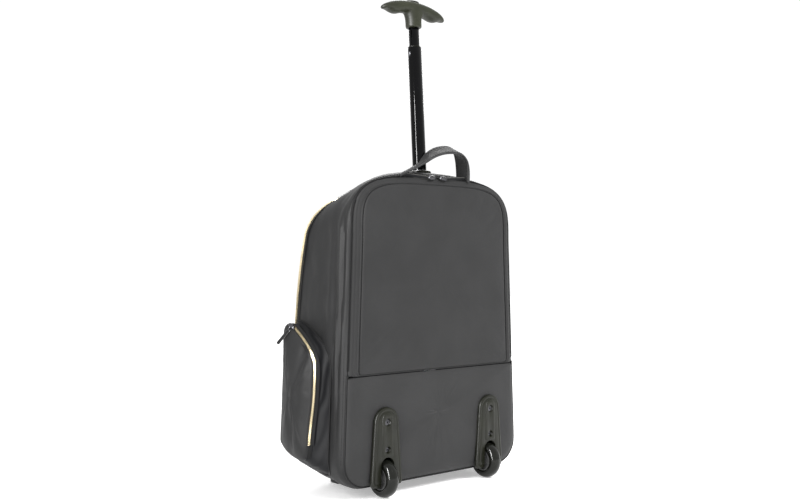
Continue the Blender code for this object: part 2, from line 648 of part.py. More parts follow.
def grip_section(across, upper):
    """Half of the grip's section at one distance from the post: dropping and thinning towards the ends."""
    share = across / GRIP_HALF_LENGTH
    end = math.sqrt(max(1.0 - abs(share) ** 7, 0.0))
    tall = (0.0105 - 0.0030 * share * share) * end
    deep = (0.0130 - 0.0030 * share * share) * max(end, 0.05)
    if not upper:
        tall *= 1.0 + 0.16 * math.cos(across / GRIP_HALF_LENGTH * 2.5 * math.pi)
    drop = -0.0110 * share * share
    points = []
    sign = 1 if upper else -1
    for step in range(9):
        angle = step / 8 * math.pi
        height = sign * (0.0002 + max(tall, 0.0006) * math.sin(angle) ** 0.8)
        points.append(Vector((across, deep * math.cos(angle), drop + height)))
    return points


def build_grip(collar):
    middle = collar + 0.0310
    frame = post_frame() @ Matrix.Translation((0.0, 0.0, middle))
    stations = [-1.0, -0.975, -0.92, -0.8, -0.6, -0.4, -0.2, 0.0, 0.2, 0.4, 0.6, 0.8, 0.92, 0.975, 1.0]
    shells = {}
    for name, upper in (("grip_upper_shell", True), ("grip_lower_shell", False)):
        rings = [grip_section(share * GRIP_HALF_LENGTH, upper) for share in stations]
        shells[name] = skin(name, rings, "grip_plastic", place=frame, origin=post_point(collar))
    stem = [oval((0.0180, 0.0122), -0.006), oval((0.0150, 0.0120), -0.012), oval((0.0132, 0.0118), -0.020),
            oval((0.0130, 0.0118), -0.031)]
    stem_tool = cutter(skin("grip_stem_body", stem, "board", place=frame))
    cut(shells["grip_lower_shell"], stem_tool, "UNION")
    bore_radii = (INNER_TUBE[0] + 0.0003, INNER_TUBE[1] + 0.0003)
    bore = [oval(bore_radii, height) for height in (-0.040, 0.0)]
    cut(shells["grip_lower_shell"], cutter(skin("grip_bore", bore, "board", place=frame)))
    opening = [oval((0.0126, 0.0066), height, 16) for height in (-0.004, 0.030)]
    opening_tool = cutter(skin("button_opening", opening, "board", place=frame))
    cut(shells["grip_upper_shell"], opening_tool)
    button = [oval((0.0120, 0.0060), 0.0050, 16), oval((0.0122, 0.0062), 0.0100, 16),
              oval((0.0104, 0.0048), 0.0116, 16)]
    skin("grip_button", button, "grip_plastic", place=frame, origin=frame @ Vector((0.0, 0.0, 0.0080)))
    rod = [oval((0.0022, 0.0022), -0.060, 12), oval((0.0022, 0.0022), 0.0046, 12)]
    skin("release_rod", rod, "steel", place=frame, origin=frame @ Vector((0.0, 0.0, 0.0046)))


def build_carry_loop():
    """A flat strap skinned between its two edges."""
    back = [at(x, LOOP_BACK_DEPTH, height) for x, height in LOOP_BACK_EDGE]
    front = [at(x, LOOP_FRONT_DEPTH, height) for x, height in LOOP_FRONT_EDGE]
    rings = []
    last = len(back) - 1
    for index in range(last + 1):
        before, after = max(index - 1, 0), min(index + 1, last)
        run = (back[after] + front[after]) - (back[before] + front[before])
        half = run.cross(front[index] - back[index]).normalized() * (LOOP_THICKNESS / 2)
        rings.append([back[index] + half, front[index] + half, front[index] - half, back[index] - half])
    skin("carry_handle", rings, "nylon", origin=at(0.0, LOOP_BACK_DEPTH, LOOP_BACK_EDGE[0][1]))


def build_laptop_sleeve():
    low = at(-0.140, 0.0560, BASE_HEIGHTS[1] + 0.0008)
    high = at(0.140, 0.0860, 0.3000)
    wall = Vector((0.003, 0.003, 0.003))
    sleeve = block("laptop_sleeve", low, high, "lining")
    hollow = block("laptop_hollow", low + wall, high - wall + Vector((0.0, 0.0, 0.020)), "board")
    cut(sleeve, cutter(hollow))


def build_feet():
    for side, sign in SIDES.items():
        x = sign * FOOT_SPREAD
        low = at(x - 0.015, 0.1080, 0.0)
        high = at(x + 0.015, 0.1280, FOOT_TOP)
        block("front_foot_" + side, low, high, "rubber", 0.0020)


def main():
    clear_scene()
    shell = build_body()
    build_front()
    lower_panel = build_back()
    build_wheels(shell, lower_panel)
    build_side_pockets()
    build_sliders()
    build_arch_zipper()
    build_grip(build_post())
    build_carry_loop()
    build_laptop_sleeve()
    build_feet()


main()
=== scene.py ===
"""The looks of a grey nylon rolling laptop case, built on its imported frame.

Metres, +Z up, the back of the bag towards -Y. Depth is counted from the back fabric plane towards the front.
"""

import json
import math

import bmesh
import bpy
import numpy as np
from mathutils import Matrix, Vector, noise


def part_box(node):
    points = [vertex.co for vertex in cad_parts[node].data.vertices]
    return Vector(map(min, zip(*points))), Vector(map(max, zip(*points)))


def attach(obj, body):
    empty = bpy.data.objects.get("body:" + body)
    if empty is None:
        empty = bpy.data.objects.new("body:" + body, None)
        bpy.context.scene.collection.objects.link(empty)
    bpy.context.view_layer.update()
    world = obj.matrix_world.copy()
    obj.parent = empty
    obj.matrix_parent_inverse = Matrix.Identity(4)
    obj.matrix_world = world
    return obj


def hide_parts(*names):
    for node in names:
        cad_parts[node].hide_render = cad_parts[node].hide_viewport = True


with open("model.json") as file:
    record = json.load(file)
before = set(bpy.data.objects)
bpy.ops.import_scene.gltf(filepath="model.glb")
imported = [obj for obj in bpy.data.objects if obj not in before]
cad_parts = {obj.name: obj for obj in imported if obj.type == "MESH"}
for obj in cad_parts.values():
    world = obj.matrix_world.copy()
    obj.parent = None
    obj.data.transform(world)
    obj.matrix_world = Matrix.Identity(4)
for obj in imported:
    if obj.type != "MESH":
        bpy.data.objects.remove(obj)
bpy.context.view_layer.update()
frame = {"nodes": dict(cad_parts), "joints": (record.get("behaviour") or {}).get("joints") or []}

# Places read from the frame
BACK_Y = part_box("main_shell")[0].y - 0.006
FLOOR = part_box("main_shell")[0].z
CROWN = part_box("main_shell")[1].z
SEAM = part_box("lower_back_panel")[1].z
ZIP_LOW_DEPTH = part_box("main_shell")[1].y - BACK_Y
FRONT_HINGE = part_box("front_flap")[0].z
TYRE_LOW, TYRE_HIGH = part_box("wheel_tyre_right")
WHEEL_X = (TYRE_LOW.x + TYRE_HIGH.x) / 2
WHEEL_Y = (TYRE_LOW.y + TYRE_HIGH.y) / 2
WHEEL_RADIUS = TYRE_HIGH.z / 2
SIDES = {"left": -1, "right": 1}

# The body's own sizes: how far the back edge is rounded, where the crown is fullest, where the arch zipper
# crosses the top, and half the body's width high up and low down
EDGE_ROUND = 0.020
CROWN_DEPTH = 0.042
ZIP_TOP_DEPTH = 0.078
HALF_HIGH = 0.162
HALF_LOW = 0.174
WALL = 0.0035

# The outline along the arch zipper: inset, floor, corner radius, top, rise of the shoulders, squareness
ARCH = (0.0, 0.021, 0.062, 0.452, 0.082, 2.2)

# The bag's middle, as seams and surfaces face away from it
MIDDLE_HEIGHT = 0.240
HEART = np.array([0.0, BACK_Y + 0.05, MIDDLE_HEIGHT])
DEEP_HEART = np.array([0.0, BACK_Y + 0.08, MIDDLE_HEIGHT])

# Openings in the fabric: the post's half axes, and each wheel well's half width and top
POST_HOLE = (0.0172, 0.0154)
WELL_HALF = 0.0168
WELL_TOP = 0.0635

# How finely rings, cords and tapes are divided, and the sizes of stitches and teeth
AROUND = 240
CORD_SIDES = 8
TAPE_STEPS = 4
STITCH, STITCH_GAP, STITCH_LIFT = 0.0028, 0.0016, 0.0002
TOOTH_PITCH = 0.0023
SETTLE_FRAMES = 20


# ---------------------------------------------------------------- materials

class Look:
    """A Principled material under construction, with its texture space in metres."""

    def __init__(self, name, colour, roughness, metallic=0.0):
        self.material = bpy.data.materials.new(name)
        self.material.use_nodes = True
        self.nodes = self.material.node_tree.nodes
        self.links = self.material.node_tree.links
        self.surface = self.nodes["Principled BSDF"]
        self.surface.inputs["Base Color"].default_value = (*colour, 1.0)
        self.surface.inputs["Roughness"].default_value = roughness
        self.surface.inputs["Metallic"].default_value = metallic
        self.colour = colour
        self.space = self.nodes.new("ShaderNodeTexCoord").outputs["Object"]
        self.height = None

    def set(self, **values):
        for name, value in values.items():
            self.surface.inputs[name.replace("_", " ")].default_value = value
        return self

    def turned(self, rotation, stretch=(1.0, 1.0, 1.0)):
        mapping = self.nodes.new("ShaderNodeMapping")
        mapping.inputs["Rotation"].default_value = rotation
        mapping.inputs["Scale"].default_value = stretch
        self.links.new(self.space, mapping.inputs["Vector"])
        return mapping.outputs["Vector"]

    def noise(self, scale, detail=3.0, stretch=None):
        texture = self.nodes.new("ShaderNodeTexNoise")
        texture.inputs["Scale"].default_value = scale
        texture.inputs["Detail"].default_value = detail
        source = self.turned((0, 0, 0), stretch) if stretch else self.space
        self.links.new(source, texture.inputs["Vector"])
        return texture.outputs["Fac"]

    def bands(self, period, rotation, distortion):
        texture = self.nodes.new("ShaderNodeTexWave")
        texture.bands_direction = "X"
        texture.inputs["Scale"].default_value = math.pi / (10.0 * period)
        texture.inputs["Distortion"].default_value = distortion
        texture.inputs["Detail"].default_value = 1.0
        texture.inputs["Detail Scale"].default_value = 2.0
        self.links.new(self.turned(rotation), texture.inputs["Vector"])
        return texture.outputs["Fac"]

    def math(self, operation, first, second):
        node = self.nodes.new("ShaderNodeMath")
        node.operation = operation
        for socket, value in zip(node.inputs, (first, second)):
            if isinstance(value, (int, float)):
                socket.default_value = value
            else:
                self.links.new(value, socket)
        return node.outputs["Value"]

    def ramp(self, source, stops):
        node = self.nodes.new("ShaderNodeValToRGB")
        elements = node.color_ramp.elements
        while len(elements) < len(stops):
            elements.new(0.5)
        for element, (place, colour) in zip(elements, stops):
            element.position = place
            element.color = (*colour, 1.0)
        self.links.new(source, node.inputs["Fac"])
        return node.outputs["Color"]

    def shade(self, source, darker, lighter, low, high):
        """Vary the base colour with a texture."""
        dark = tuple(c * darker for c in self.colour)
        light = tuple(min(c * lighter, 1.0) for c in self.colour)
        self.links.new(self.ramp(source, [(low, dark), (high, light)]), self.surface.inputs["Base Color"])
        return self

    def rough(self, source, low, high):
        node = self.nodes.new("ShaderNodeMapRange")
        node.inputs["To Min"].default_value = low
        node.inputs["To Max"].default_value = high
        self.links.new(source, node.inputs["Value"])
        self.links.new(node.outputs["Result"], self.surface.inputs["Roughness"])
        return self

    def bump(self, source, distance, strength):
        node = self.nodes.new("ShaderNodeBump")
        node.inputs["Strength"].default_value = strength
        node.inputs["Distance"].default_value = distance
        self.links.new(source, node.inputs["Height"])
        if self.height:
            self.links.new(self.height, node.inputs["Normal"])
        self.height = node.outputs["Normal"]
        self.links.new(self.height, self.surface.inputs["Normal"])
        return self


def woven(name, colour, roughness, period=0.0011, rumple=0.0006, sheen=0.03):
    """Nylon twill: diagonal ribs crossed by a finer thread, a soft rumple and cloudy colour."""
    look = Look(name, colour, roughness)
    look.set(Sheen_Weight=sheen, Sheen_Roughness=0.45, Specular_IOR_Level=0.12)
    ribs = look.bands(period, (0.0, math.radians(38), 0.0), 0.6)
    thread = look.bands(period * 0.62, (0.0, math.radians(-52), 0.0), 0.4)
    weave = look.math("ADD", look.math("MULTIPLY", ribs, 0.7), look.math("MULTIPLY", thread, 0.3))
    cloud = look.noise(14.0, 4.0)
    fine = look.noise(900.0, 2.0)
    mixed = look.math("ADD", look.math("MULTIPLY", cloud, 0.55), look.math("MULTIPLY", fine, 0.20))
    mixed = look.math("ADD", mixed, look.math("MULTIPLY", weave, 0.25))
    look.shade(mixed, 0.84, 1.14, 0.33, 0.66)
    look.rough(fine, roughness - 0.07, roughness + 0.07)
    look.bump(weave, 0.00012, 0.55)
    look.bump(look.noise(38.0, 3.0, (1.0, 1.0, 0.45)), rumple, 0.5)
    return look.material


def moulded(name, colour, roughness, grain=0.00006, specular=0.25, spread=0.10):
    """Moulded plastic with a fine spark-eroded grain, handled smooth in places."""
    look = Look(name, colour, roughness)
    look.set(Specular_IOR_Level=specular)
    wear = look.noise(45.0, 4.0)
    look.shade(wear, 0.82, 1.25, 0.32, 0.70)
    look.rough(look.noise(120.0, 3.0), roughness - spread, roughness + spread)
    look.bump(look.noise(1800.0, 2.0), grain, 0.6)
    return look.material


def metal(name, colour, roughness, brush=(1.0, 1.0, 1.0)):
    """Metal with fine streaks that run along the brush's short direction."""
    look = Look(name, colour, roughness, 1.0)
    streaks = look.noise(700.0, 3.0, brush)
    look.shade(look.noise(60.0, 3.0), 0.85, 1.12, 0.3, 0.7)
    look.rough(streaks, max(roughness - 0.08, 0.03), roughness + 0.10)
    look.bump(streaks, 0.00002, 0.4)
    return look.material


def make_materials():
    """Every look on the bag, by name."""
    made = {
        "nylon": woven("nylon_twill", (0.0215, 0.0215, 0.0218), 0.56),
        # The same twill darkened: painted shade for the bag's sides, front base and pocket panels, which get
        # less light than the back
        "nylon_painted_shade": woven("nylon_painted_shade", (0.0145, 0.0145, 0.0148), 0.55, rumple=0.0009),
        "nylon_lower": woven("nylon_lower", (0.0245, 0.0245, 0.0248), 0.50, 0.0008, 0.0003),
        # Near-black twill: the pull tabs' own dark fabric, and painted shade on the pocket gussets, which are
        # dark only from shadow
        "nylon_dark_and_shade": woven("pull_dark_and_gusset_shade", (0.0058, 0.0060, 0.0070), 0.60, rumple=0.0010),
        "lining": woven("lining_fabric", (0.030, 0.030, 0.033), 0.72, 0.0007, 0.0005, 0.05),
        "tape": woven("zipper_tape", (0.0035, 0.0035, 0.0038), 0.70, 0.0008, 0.0001, 0.05),
        "piping": woven("piping_cord", (0.0080, 0.0080, 0.0083), 0.52, 0.0006, 0.0001),
        "piping_light": woven("pull_edge", (0.060, 0.059, 0.055), 0.50, 0.0006, 0.0001),
        "thread": woven("stitch_thread", (0.030, 0.030, 0.031), 0.50, 0.0004, 0.00005),
        "webbing": woven("handle_webbing", (0.0175, 0.0175, 0.0178), 0.52, 0.0013, 0.0002),
        "gold": metal("pale_gold", (0.66, 0.56, 0.36), 0.28),
        "gunmetal": metal("gunmetal", (0.075, 0.075, 0.080), 0.30),
        "steel": metal("steel", (0.55, 0.55, 0.56), 0.26, (1.0, 1.0, 0.1)),
        "tube": moulded("black_anodised", (0.0012, 0.0012, 0.0014), 0.085, 0.000003, 0.11, 0.02),
        "olive": moulded("olive_plastic", (0.0068, 0.0073, 0.0040), 0.40),
        "grip": moulded("grip_plastic", (0.0150, 0.0165, 0.0090), 0.46, 0.00009),
        "core": moulded("wheel_core", (0.050, 0.050, 0.050), 0.45),
        "tyre": moulded("tyre_urethane", (0.0050, 0.0054, 0.0042), 0.17, 0.00001, 0.22, 0.04),
        "rubber": moulded("foot_rubber", (0.018, 0.018, 0.018), 0.70, 0.0001),
        "board": moulded("stiff_board", (0.025, 0.025, 0.027), 0.62),
    }
    return made


MATERIALS = make_materials()


# ---------------------------------------------------------------- mesh helpers

def finished(name, builder):
    """A linked object made from a builder, with its normals facing out."""
    bmesh.ops.recalc_face_normals(builder, faces=builder.faces)
    mesh = bpy.data.meshes.new(name)
    builder.to_mesh(mesh)
    builder.free()
    made = bpy.data.objects.new(name, mesh)
    bpy.context.scene.collection.objects.link(made)
    return made


def wear(piece, look):
    """Give a piece or a CAD node one material."""
    piece.data.materials.clear()
    piece.data.materials.append(MATERIALS[look])


def smooth_shaded(piece, angle):
    piece.data.shade_smooth()
    piece.data.set_sharp_from_angle(angle=math.radians(angle))


def from_bmesh(name, builder, look, body, smooth=38.0):
    piece = finished(name, builder)
    smooth_shaded(piece, smooth)
    wear(piece, look)
    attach(piece, body)
    return piece


def grid_bmesh(rows, closed_rows=False, caps=False):
    """Skin closed rings of points. Closed rows join the last ring to the first."""
    rows = np.asarray(rows, float)
    builder = bmesh.new()
    table = [[builder.verts.new(point) for point in row] for row in rows]
    count = rows.shape[1]
    pairs = list(zip(table, table[1:]))
    if closed_rows:
        pairs.append((table[-1], table[0]))
    for first, second in pairs:
        for index in range(count):
            after = (index + 1) % count
            builder.faces.new((first[index], first[after], second[after], second[index]))
    if caps:
        builder.faces.new(table[0])
        builder.faces.new(table[-1])
    return builder


def skin(name, rows, look, body, closed_rows=False, caps=False, smooth=38.0):
    return from_bmesh(name, grid_bmesh(rows, closed_rows, caps), look, body, smooth)


def apply_modifiers(piece):
    """Turn what the modifiers show into the piece's own mesh."""
    bpy.context.view_layer.update()
    shown = piece.evaluated_get(bpy.context.evaluated_depsgraph_get())
    mesh = bpy.data.meshes.new_from_object(shown)
    old = piece.data
    piece.modifiers.clear()
    piece.data = mesh
    bpy.data.meshes.remove(old)


def carve(piece, tools, operation="DIFFERENCE"):
    """Cut the piece with tools, or join them to it. The tools are removed afterwards."""
    for tool in tools:
        modifier = piece.modifiers.new(tool.name, "BOOLEAN")
        modifier.operation = operation
        modifier.solver = "EXACT"
        modifier.object = tool
    apply_modifiers(piece)
    for tool in tools:
        bpy.data.objects.remove(tool)


def block_tool(name, size, middle=(0.0, 0.0, 0.0), matrix=None):
    """A block of a size about a middle, then moved by a matrix."""
    builder = bmesh.new()
    bmesh.ops.create_cube(builder, size=1.0)
    bmesh.ops.scale(builder, vec=size, verts=builder.verts)
    bmesh.ops.translate(builder, vec=middle, verts=builder.verts)
    if matrix:
        bmesh.ops.transform(builder, matrix=matrix, verts=builder.verts)
    return finished(name, builder)


def box_tool(name, low, high):
    low, high = Vector(low), Vector(high)
    return block_tool(name, high - low, (low + high) / 2)


def loft_tool(name, rows):
    return finished(name, grid_bmesh(rows, caps=True))


def bevel(piece, width):
    """Round the edges sharper than forty degrees."""
    modifier = piece.modifiers.new("edges", "BEVEL")
    modifier.width = width
    modifier.segments = 2
    modifier.limit_method = "ANGLE"
    modifier.angle_limit = math.radians(40.0)
    modifier.harden_normals = False
    apply_modifiers(piece)
    smooth_shaded(piece, 40.0)


def ring(radii, height, count=48):
    """An oval of points round the Z axis at a height."""
    turns = np.arange(count) * 2 * math.pi / count
    return np.stack([radii[0] * np.cos(turns), radii[1] * np.sin(turns), np.full(count, height)], 1)


def round_rings(levels, count):
    """Circles given as (radius, height)."""
    return [ring((radius, radius), height, count) for radius, height in levels]


def placed(rows, matrix):
    return [[matrix @ Vector(point) for point in row] for row in rows]


def frames_along(path, up):
    """Tangent, outward and sideways directions along a path, with up as the outward hint at each point."""
    path = np.asarray(path, float)
    tangent = np.gradient(path, axis=0)
    tangent /= np.linalg.norm(tangent, axis=1)[:, None]
    up = np.broadcast_to(np.asarray(up, float), path.shape)
    outward = up - tangent * (up * tangent).sum(1)[:, None]
    outward /= np.linalg.norm(outward, axis=1)[:, None]
    return tangent, outward, np.cross(tangent, outward)


def travelled(path):
    """Distance run along a path at each of its points."""
    return np.concatenate([[0.0], np.cumsum(np.linalg.norm(np.diff(path, axis=0), axis=1))])


def resampled(values, reach, marks):
    """Values known at the distances in reach, read off at the marks."""
    return np.stack([np.interp(marks, reach, column) for column in np.asarray(values, float).T], 1)


def even_round(points, count):
    """A closed path, given with its first point repeated at the end, at even spacing."""
    reach = travelled(points)
    return resampled(points, reach, np.arange(count) * reach[-1] / count)


def even(path, step, *others):
    """The path, and anything given with it, resampled at an even step."""
    path = np.asarray(path, float)
    reach = travelled(path)
    marks = np.linspace(0.0, reach[-1], max(int(reach[-1] / step), 2) + 1)
    found = [resampled(values, reach, marks) for values in (path, *others)]
    return found if others else found[0]


def even_with_up(path, step, up):
    """A path at an even step, and its outward hint, which may be one direction for all points."""
    return even(path, step, np.broadcast_to(np.asarray(up, float), np.shape(path)))


def catmull_rom(a, b, c, d, t):
    """A point at share t between b and c on the smooth curve through four corners."""
    return 0.5 * (2 * b + (c - a) * t + (2 * a - 5 * b + 4 * c - d) * t * t + (3 * b - a - 3 * c + d) * t**3)


def cord_piece(name, path, up, radius, look, body, flat=1.0, closed=False):
    """A round or flattened cord laid along a path: piping, seam rolls and coil zippers."""
    path = np.asarray(path, float)
    if closed:
        wrapped = np.vstack([path[-1], path, path[0]])
        up = np.broadcast_to(np.asarray(up, float), path.shape)
        up = np.vstack([up[-1], up, up[0]])
        tangent, outward, side = (part[1:-1] for part in frames_along(wrapped, up))
    else:
        tangent, outward, side = frames_along(path, up)
    turns = np.arange(CORD_SIDES) * 2 * math.pi / CORD_SIDES
    rows = [path + radius * (math.cos(t) * side + flat * math.sin(t) * outward) for t in turns]
    rows = np.stack(rows, 1)
    return skin(name, rows, look, body, closed_rows=closed, caps=not closed, smooth=80.0)


def studs(name, centres, tangent, outward, side, sizes, look, body, taper=0.75):
    """Many small blocks in one mesh, each aligned with its own directions: zipper teeth and stitches."""
    along, tall, wide = sizes
    corners = []
    for a, b, c in [(-1, -1, -1), (1, -1, -1), (1, -1, 1), (-1, -1, 1), (-1, 1, -1), (1, 1, -1), (1, 1, 1),
                    (-1, 1, 1)]:
        squeeze = taper if b > 0 else 1.0
        corners.append(centres + tangent * (a * along / 2 * squeeze) + outward * (b * tall / 2)
                       + side * (c * wide / 2 * squeeze))
    quads = [(0, 1, 2, 3), (7, 6, 5, 4), (0, 4, 5, 1), (1, 5, 6, 2), (2, 6, 7, 3), (3, 7, 4, 0)]
    builder = bmesh.new()
    for block in np.stack(corners, 1):
        made = [builder.verts.new(point) for point in block]
        for quad in quads:
            builder.faces.new([made[corner] for corner in quad])
    return from_bmesh(name, builder, look, body, 30.0)


def zipper_teeth(name, path, up, body, width=0.0052):
    """Two interlocked rows of gold teeth along a path."""
    path, up = even_with_up(path, TOOTH_PITCH / 2, up)
    tangent, outward, side = frames_along(path, up)
    sign = np.where(np.arange(len(path)) % 2 == 0, 1.0, -1.0)[:, None]
    centres = path + side * (sign * width * 0.17) + outward * 0.0007
    sizes = (TOOTH_PITCH * 0.46, 0.0015, width * 0.62)
    return studs(name, centres, tangent, outward, side, sizes, "gold", body)


def ribbon(name, path, up, width, thickness, look, body):
    """A flat tape lying along a path."""
    tangent, outward, side = frames_along(path, up)
    path = np.asarray(path, float)
    lines = [path + side * width * (step / TAPE_STEPS - 0.5) for step in range(TAPE_STEPS + 1)]
    outline = [line + outward * thickness for line in lines] + lines[::-1]
    return skin(name, np.stack(outline, 1), look, body, caps=True, smooth=50.0)


def stitches(name, path, up, body, look):
    """A row of sewn stitches: short dashes that stand just proud of the fabric."""
    path, up = even_with_up(path, STITCH + STITCH_GAP, up)
    tangent, outward, side = frames_along(path, up)
    sizes = (STITCH, 0.00055, 0.0007)
    studs(name, path + outward * STITCH_LIFT, tangent, outward, side, sizes, look, body, 0.8)


def settle(piece, free, pressure, reach):
    """Let the loose part of a padded piece puff and wrinkle under inner pressure, its sewn part held."""
    scene = bpy.context.scene
    mesh = piece.data
    before = np.array([tuple(vertex.co) for vertex in mesh.vertices])
    group = piece.vertex_groups.new(name="sewn")
    group.add([int(index) for index in np.nonzero(~free)[0]], 1.0, "REPLACE")
    cloth = piece.modifiers.new("cloth", "CLOTH")
    cloth.settings.quality = 6
    cloth.settings.mass = 0.2
    cloth.settings.tension_stiffness = 14.0
    cloth.settings.compression_stiffness = 14.0
    cloth.settings.shear_stiffness = 5.0
    cloth.settings.bending_stiffness = 0.5
    cloth.settings.use_pressure = True
    cloth.settings.uniform_pressure_force = pressure
    cloth.settings.effector_weights.gravity = 0.0
    cloth.settings.vertex_group_mass = "sewn"
    cloth.point_cache.frame_start = 1
    cloth.point_cache.frame_end = SETTLE_FRAMES
    for number in range(1, SETTLE_FRAMES + 1):
        scene.frame_set(number)
    shown = piece.evaluated_get(bpy.context.evaluated_depsgraph_get())
    move = np.array([tuple(vertex.co) for vertex in shown.data.vertices]) - before
    piece.modifiers.remove(cloth)
    piece.vertex_groups.remove(group)
    scene.frame_set(1)
    size = np.linalg.norm(move, axis=1)[:, None]
    move *= reach * np.tanh(size / reach) / np.maximum(size, 1e-9)
    mesh.vertices.foreach_set("co", (before + move).ravel())
    mesh.update()


# ---------------------------------------------------------------- the body's shape

def half_width(height):
    """Half the body's width at a height: broader towards the floor."""
    share = np.clip((0.37 - height) / 0.31, 0.0, 1.0)
    return HALF_HIGH + (HALF_LOW - HALF_HIGH) * share


def zip_depth(height):
    """Depth of the arch zipper at a height: upright low on the sides, back over the shoulders to the top."""
    share = np.clip((np.asarray(height, float) - 0.220) / 0.207, 0.0, 1.0)
    return ZIP_TOP_DEPTH + (ZIP_LOW_DEPTH - ZIP_TOP_DEPTH) * np.sqrt(1.0 - share * share)


def loop(inset, floor, corner, top, rise, power):
    """An even closed loop of (x, height), from the middle of the bottom edge round by +X."""
    low = half_width(floor + corner) - inset
    spring = top - rise
    angles = np.linspace(-math.pi / 2, 0.0, 24)
    arc = np.stack([low - corner + corner * np.cos(angles), floor + corner + corner * np.sin(angles)], 1)
    heights = np.linspace(floor + corner, spring, 60)[1:-1]
    side = np.stack([half_width(heights) - inset, heights], 1)
    angles = np.linspace(0.0, math.pi / 2, 160)
    across = (half_width(spring) - inset) * np.clip(np.cos(angles), 0.0, 1.0) ** (2 / power)
    over = np.stack([across, spring + rise * np.sin(angles) ** (2 / power)], 1)
    half = np.vstack([[0.0, floor], arc, side, over])
    return even_round(np.vstack([half, half[-2::-1] * [-1, 1]]), AROUND)


def edge_values(depth):
    """The rounding of the back edge: how far the outline has drawn in at a depth, and how the top drops."""
    side = EDGE_ROUND - math.sqrt(max(EDGE_ROUND**2 - max(EDGE_ROUND - depth, 0.0) ** 2, 0.0))
    slope = max(CROWN_DEPTH - depth, 0.0) / CROWN_DEPTH
    return side, 0.0082 * slope * slope + 0.78 * side


def shoulder(depth):
    """Rise and squareness of the outline's top at a depth: squarer towards the back edge."""
    depths = (0.0, 0.006, 0.013, 0.024, CROWN_DEPTH)
    rise = np.interp(depth, depths, (0.088, 0.090, 0.096, 0.100, 0.1015))
    return float(rise), float(np.interp(depth, depths, (4.6, 3.5, 2.9, 2.5, 2.25)))


def bottom_corner(depth):
    """Radius of the rounded bottom corner, which grows from the back edge to the front."""
    return float(np.interp(depth, (0.006, 0.020, CROWN_DEPTH, ZIP_LOW_DEPTH), (0.035, 0.043, 0.047, ARCH[2])))


def corner_inset(depth, height):
    """How far the bottom corner has drawn in from the bag's side at each depth and height."""
    share = np.clip((depth - CROWN_DEPTH) / (ZIP_LOW_DEPTH - CROWN_DEPTH), 0.0, 1.0)
    corner = 0.047 + (ARCH[2] - 0.047) * share
    below = np.clip(FLOOR + (ARCH[1] - FLOOR) * share + corner - height, 0.0, corner)
    return corner - np.sqrt(corner**2 - below**2)


def body_loop(depth, thinner=0.0):
    """The body's outline at a depth from the back plane, up to its fullest."""
    side, drop = edge_values(depth)
    return loop(side + thinner, FLOOR + 0.85 * side + thinner, bottom_corner(depth) - thinner / 2,
                CROWN - drop - thinner, *shoulder(depth))


def arch_loop(thinner=0.0):
    """The outline along the arch zipper."""
    inset, floor, corner, top, rise, power = ARCH
    return loop(inset + thinner, floor + thinner, corner - thinner / 2, top - thinner, rise, power)


def forward_row(share, thinner=0.0):
    """The body between its fullest outline, at share 0, and the rim along the arch zipper, at share 1."""
    arch = arch_loop(thinner)
    start = place(body_loop(CROWN_DEPTH, thinner), CROWN_DEPTH)
    rim = place(arch, zip_depth(arch_loop()[:, 1]) - 0.0004)
    row = start + (rim - start) * share
    row[:, [0, 2]] = start[:, [0, 2]] + (rim - start)[:, [0, 2]] * share**1.35
    return row


def place(points, depth):
    """Stand a loop of (x, height) at a depth, given for the whole loop or for each point."""
    depth = np.broadcast_to(np.asarray(depth, float), len(points))
    return np.stack([points[:, 0], BACK_Y + depth, points[:, 1]], 1)


def clouds(points, scale, seed):
    """Smooth noise between about -1 and 1 at each point."""
    shift = Vector((seed * 7.3, seed * 3.1, seed * 5.7))
    flat = np.asarray(points, float).reshape(-1, 3)
    found = [noise.noise(Vector(p * scale) + shift) for p in flat]
    return np.array(found).reshape(np.shape(points)[:-1])


def normals_of(rows):
    """Normals of a skin of closed rings."""
    down = np.gradient(rows, axis=0)
    across = (np.roll(rows, -1, axis=1) - np.roll(rows, 1, axis=1)) / 2
    found = np.cross(across, down)
    return found / np.maximum(np.linalg.norm(found, axis=2), 1e-12)[..., None]


def ridge(value, centre, width):
    """A smooth bump of height 1."""
    return np.exp(-(((value - centre) / width) ** 2))


def body_folds(rows):
    """Soft upright folds on the bag's sides behind the rear zipper, and a slack belly further forward."""
    depth = rows[..., 1] - BACK_Y
    height = rows[..., 2]
    side = np.clip((np.abs(rows[..., 0]) - 0.140) / 0.015, 0.0, 1.0)
    sway = 0.0022 * np.sin(height * 17.0 + np.sign(rows[..., 0]))
    tall = np.clip((height - 0.05) / 0.10, 0.0, 1.0) * np.clip((0.43 - height) / 0.06, 0.0, 1.0)
    folds = 0.0015 * ridge(depth, 0.0125 + sway, 0.0028) - 0.0018 * ridge(depth, 0.0185 + sway, 0.0026)
    folds += 0.0022 * ridge(depth, 0.0245 + 1.4 * sway, 0.0036) - 0.0018 * ridge(depth, 0.0335 - sway, 0.0046)
    folds += 0.0018 * ridge(depth, 0.047 + 2.0 * sway, 0.0080)
    slack = 0.0026 * clouds(rows * [1.0, 1.5, 0.5], 19.0, 1)
    slack += 0.0012 * clouds(rows * [1.0, 1.3, 0.7], 46.0, 2)
    hem = np.clip((depth - 0.008) / 0.02, 0.0, 1.0) * np.clip((zip_depth(height) - depth) / 0.015, 0.0, 1.0)
    return side * tall * folds + slack * hem * (0.35 + 0.65 * side)


